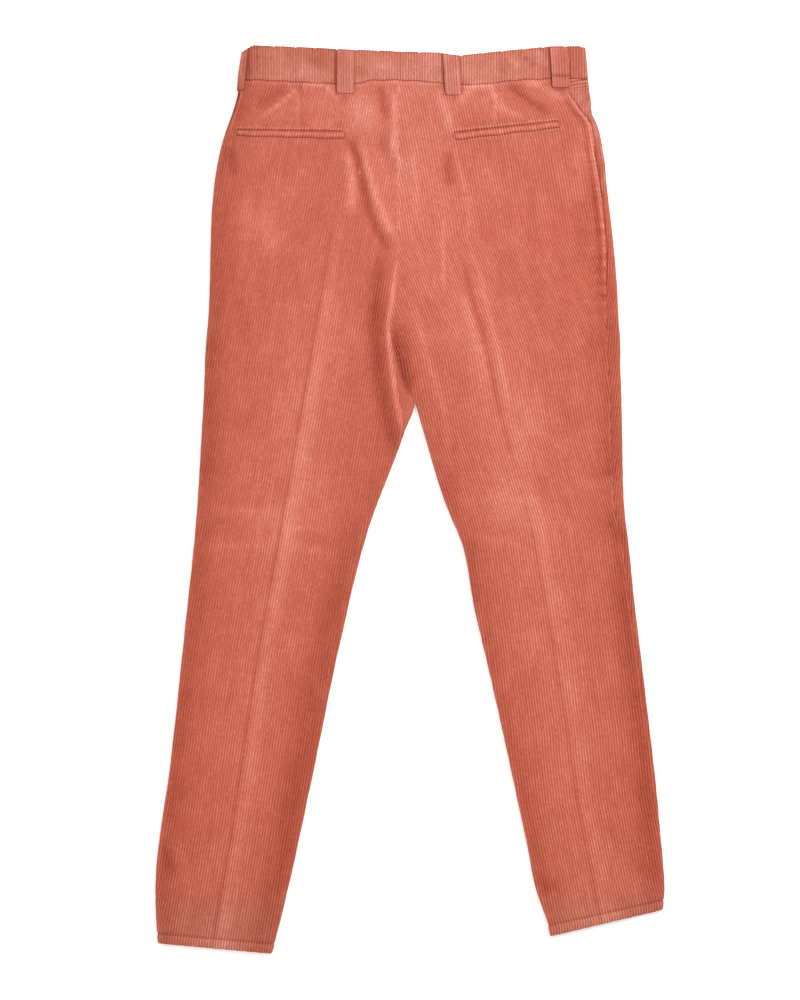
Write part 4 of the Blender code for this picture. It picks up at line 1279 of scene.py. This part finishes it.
def cotton_corduroy(name, shades):
    """Eight-wale cotton corduroy: soft rounded ribs of cut pile with narrow woven grooves.

    All that changes the tone, painted light and shade included, is added up to one value, and
    the shades turn it into a colour: the deeper the tone, the redder, and the lighter, the more
    washed out.
    """
    material, tree, shader = new_material(
        name, Roughness=0.93, Sheen_Weight=0.2, Sheen_Roughness=0.5, Sheen_Tint=linear("#f4b9a6"),
        Specular_IOR_Level=0.15)
    lie = add(tree, "UVMap", uv_map="grain").outputs["UV"]
    parts = add(tree, "SeparateXYZ", {"Vector": lie})
    # second UV map: tone with its painted light and shade, and the wales' highlight strength
    nap = add(tree, "SeparateXYZ", {"Vector": add(tree, "UVMap", uv_map="nap").outputs["UV"]})

    def math_node(operation, a, b=None):
        links = {n: v for n, v in enumerate((a, b)) if v is not None and not isinstance(v, float)}
        values = {n: v for n, v in enumerate((a, b)) if isinstance(v, float)}
        return add(tree, "Math", links, values, operation=operation).outputs[0]

    def noise(across, along, spread, detail=2.0, roughness=0.5):
        """Noise with patches of a size in metres across and along the wales, spread about 0."""
        scaled = add(tree, "Mapping", {"Vector": lie}, {"Scale": (1 / across, 1 / along, 1.0)})
        source = add(tree, "TexNoise", {"Vector": scaled.outputs[0]},
                     {"Scale": 1.0, "Detail": detail, "Roughness": roughness})
        return add(tree, "MapRange", {"Value": source.outputs["Fac"]},
                   {"From Min": 0.25, "From Max": 0.75, "To Min": -spread, "To Max": spread}
                   ).outputs[0]

    # wales every 3.175 mm: painted highlight and pale fibre ends on each crest, painted shade
    # between
    turns = math_node("MULTIPLY", parts.outputs["X"], 2 * math.pi / (WALE_PITCH * MM))
    wave = math_node("COSINE", turns)
    crest_highlight = add(tree, "MapRange", {"Value": wave},
                {"From Min": -0.7, "From Max": 1.0, "To Min": -WALE_HIGHLIGHT * 0.75,
                 "To Max": WALE_HIGHLIGHT * 1.45}, interpolation_type="SMOOTHSTEP").outputs[0]
    # the wales stand out in places and blur in others, over about 10 by 20 mm
    highlight_strength = math_node("ADD", noise(0.009, 0.022, 0.55), nap.outputs["Y"])
    ribs = math_node("MULTIPLY", crest_highlight, highlight_strength)

    tones = (
        nap.outputs["X"],
        ribs,
        noise(0.0012, 0.0040, 0.13, 2.0, 0.6),      # tufts of pile, about 1 by 4 mm
        noise(0.0045, 0.009, 0.05),                 # wales leaning against each other
        noise(0.006, 0.070, 0.035),                 # a few wales rubbed along their length
        noise(0.016, 0.026, 0.035),                 # soft hand marks
        noise(0.040, 0.060, 0.05, 3.0),             # nap brushed one way or the other
    )
    total = tones[0]
    for tone in tones[1:]:
        total = math_node("ADD", total, tone)
    # the cloth is tinted a little less red at the waist and redder down the legs
    dyed = add(tree, "Mix", {"A": colour_steps(tree, total, shades),
                             "B": colour_steps(tree, parts.outputs["Y"], DEPTH_TINTS)},
               {"Factor": 1.0}, data_type="RGBA", blend_type="MULTIPLY")
    colour = [socket for socket in dyed.outputs if socket.type == "RGBA"][0]
    tree.links.new(colour, shader.inputs["Base Color"])

    # cut fibre ends, drawn about 0.5 mm apart because real ones would be lost in the distance
    fine = add(tree, "Mapping", {"Vector": lie}, {"Scale": (1 / 0.0005, 1 / 0.001, 1.0)})
    fibres = add(tree, "TexNoise", {"Vector": fine.outputs[0]}, {"Scale": 1.0, "Detail": 2.0})
    bump = add(tree, "Bump", {"Height": fibres.outputs["Fac"]},
               {"Strength": 0.5, "Distance": 0.0003})
    tree.links.new(bump.outputs[0], shader.inputs["Normal"])
    return material


def cotton_thread(name):
    """Matt twisted thread, a shade paler than the cloth, so that it shows as small dashes."""
    material, tree, shader = new_material(name, Roughness=0.75, Specular_IOR_Level=0.2)
    place = add(tree, "TexCoord").outputs["Object"]
    # twist of the thread, drawn 0.6 mm apart because the real 0.2 mm would be lost
    twist = add(tree, "TexWave", {"Vector": place}, {"Scale": 1 / 0.0006, "Distortion": 2.0},
                bands_direction="DIAGONAL")
    tree.links.new(colour_steps(tree, twist.outputs["Fac"], THREAD_SHADES),
                   shader.inputs["Base Color"])
    return material


def pale_paper(name):
    """Matt paper that glows a little, like a light table's, so that the shadows stay faint."""
    return new_material(name, Roughness=0.9, Base_Color=linear("#fdfdfd"),
                        Emission_Color=linear("#ffffff"), Emission_Strength=0.3)[0]


# ======== studio ========

def make_camera():
    data = bpy.data.cameras.new("camera")
    data.sensor_width = SENSOR
    data.lens = SENSOR * CAMERA_HEIGHT / (VIEW_SIZE[1] * MM_PER_PIXEL * MM)
    camera = bpy.data.objects.new("camera", data)
    camera.location = (CAMERA_X * MM, 0, CAMERA_HEIGHT)
    bpy.context.scene.collection.objects.link(camera)
    bpy.context.scene.camera = camera


def make_light(name, place, aim, size, power):
    data = bpy.data.lights.new(name, "AREA")
    data.size = size
    data.energy = power
    light = bpy.data.objects.new(name, data)
    light.location = place
    direction = Vector(aim) - Vector(place)
    light.rotation_euler = direction.to_track_quat("-Z", "Y").to_euler()
    bpy.context.scene.collection.objects.link(light)


def make_studio():
    mesh = bpy.data.meshes.new("floor")
    corners = [(x * FLOOR_HALF, y * FLOOR_HALF, 0) for x, y in ((-1, -1), (1, -1), (1, 1), (-1, 1))]
    mesh.from_pydata(corners, [], [(0, 1, 2, 3)])
    mesh.materials.append(pale_paper("matt_white_paper"))
    floor = bpy.data.objects.new("floor", mesh)
    floor.location.z = FLOOR_Z
    bpy.context.scene.collection.objects.link(floor)
    for light in LIGHTS:
        make_light(*light)
    world = bpy.data.worlds.new("studio")
    world.use_nodes = True
    back = world.node_tree.nodes["Background"]
    back.inputs["Color"].default_value = (1, 1, 1, 1)
    back.inputs["Strength"].default_value = SKY_STRENGTH
    bpy.context.scene.world = world
    bpy.context.scene.view_settings.view_transform = "Standard"


def main():
    cloth = cotton_corduroy("cotton_corduroy_cut_pile", PANEL_SHADES)
    band_cloth = cotton_corduroy("cotton_corduroy_rubbed_pile", BAND_SHADES)
    thread = cotton_thread("cotton_sewing_thread")
    halves = {"left": Half("left", LEFT_ROWS, LEFT_CREASE),
              "right": Half("right", RIGHT_ROWS, RIGHT_CREASE)}
    for half in halves.values():
        back = make_back(half, cloth)
        front = make_front(half, cloth)
        facing = make_facing(half, band_cloth)
        band = make_waistband(half, band_cloth)
        welt = make_welt(half, cloth)
        sew(half, thread)
    for name, (side, face, above, below, width, foot) in LOOPS.items():
        loop = make_loop(name, halves[side], face, above, below, width, foot, band_cloth)
    make_studio()
    make_camera()


main()
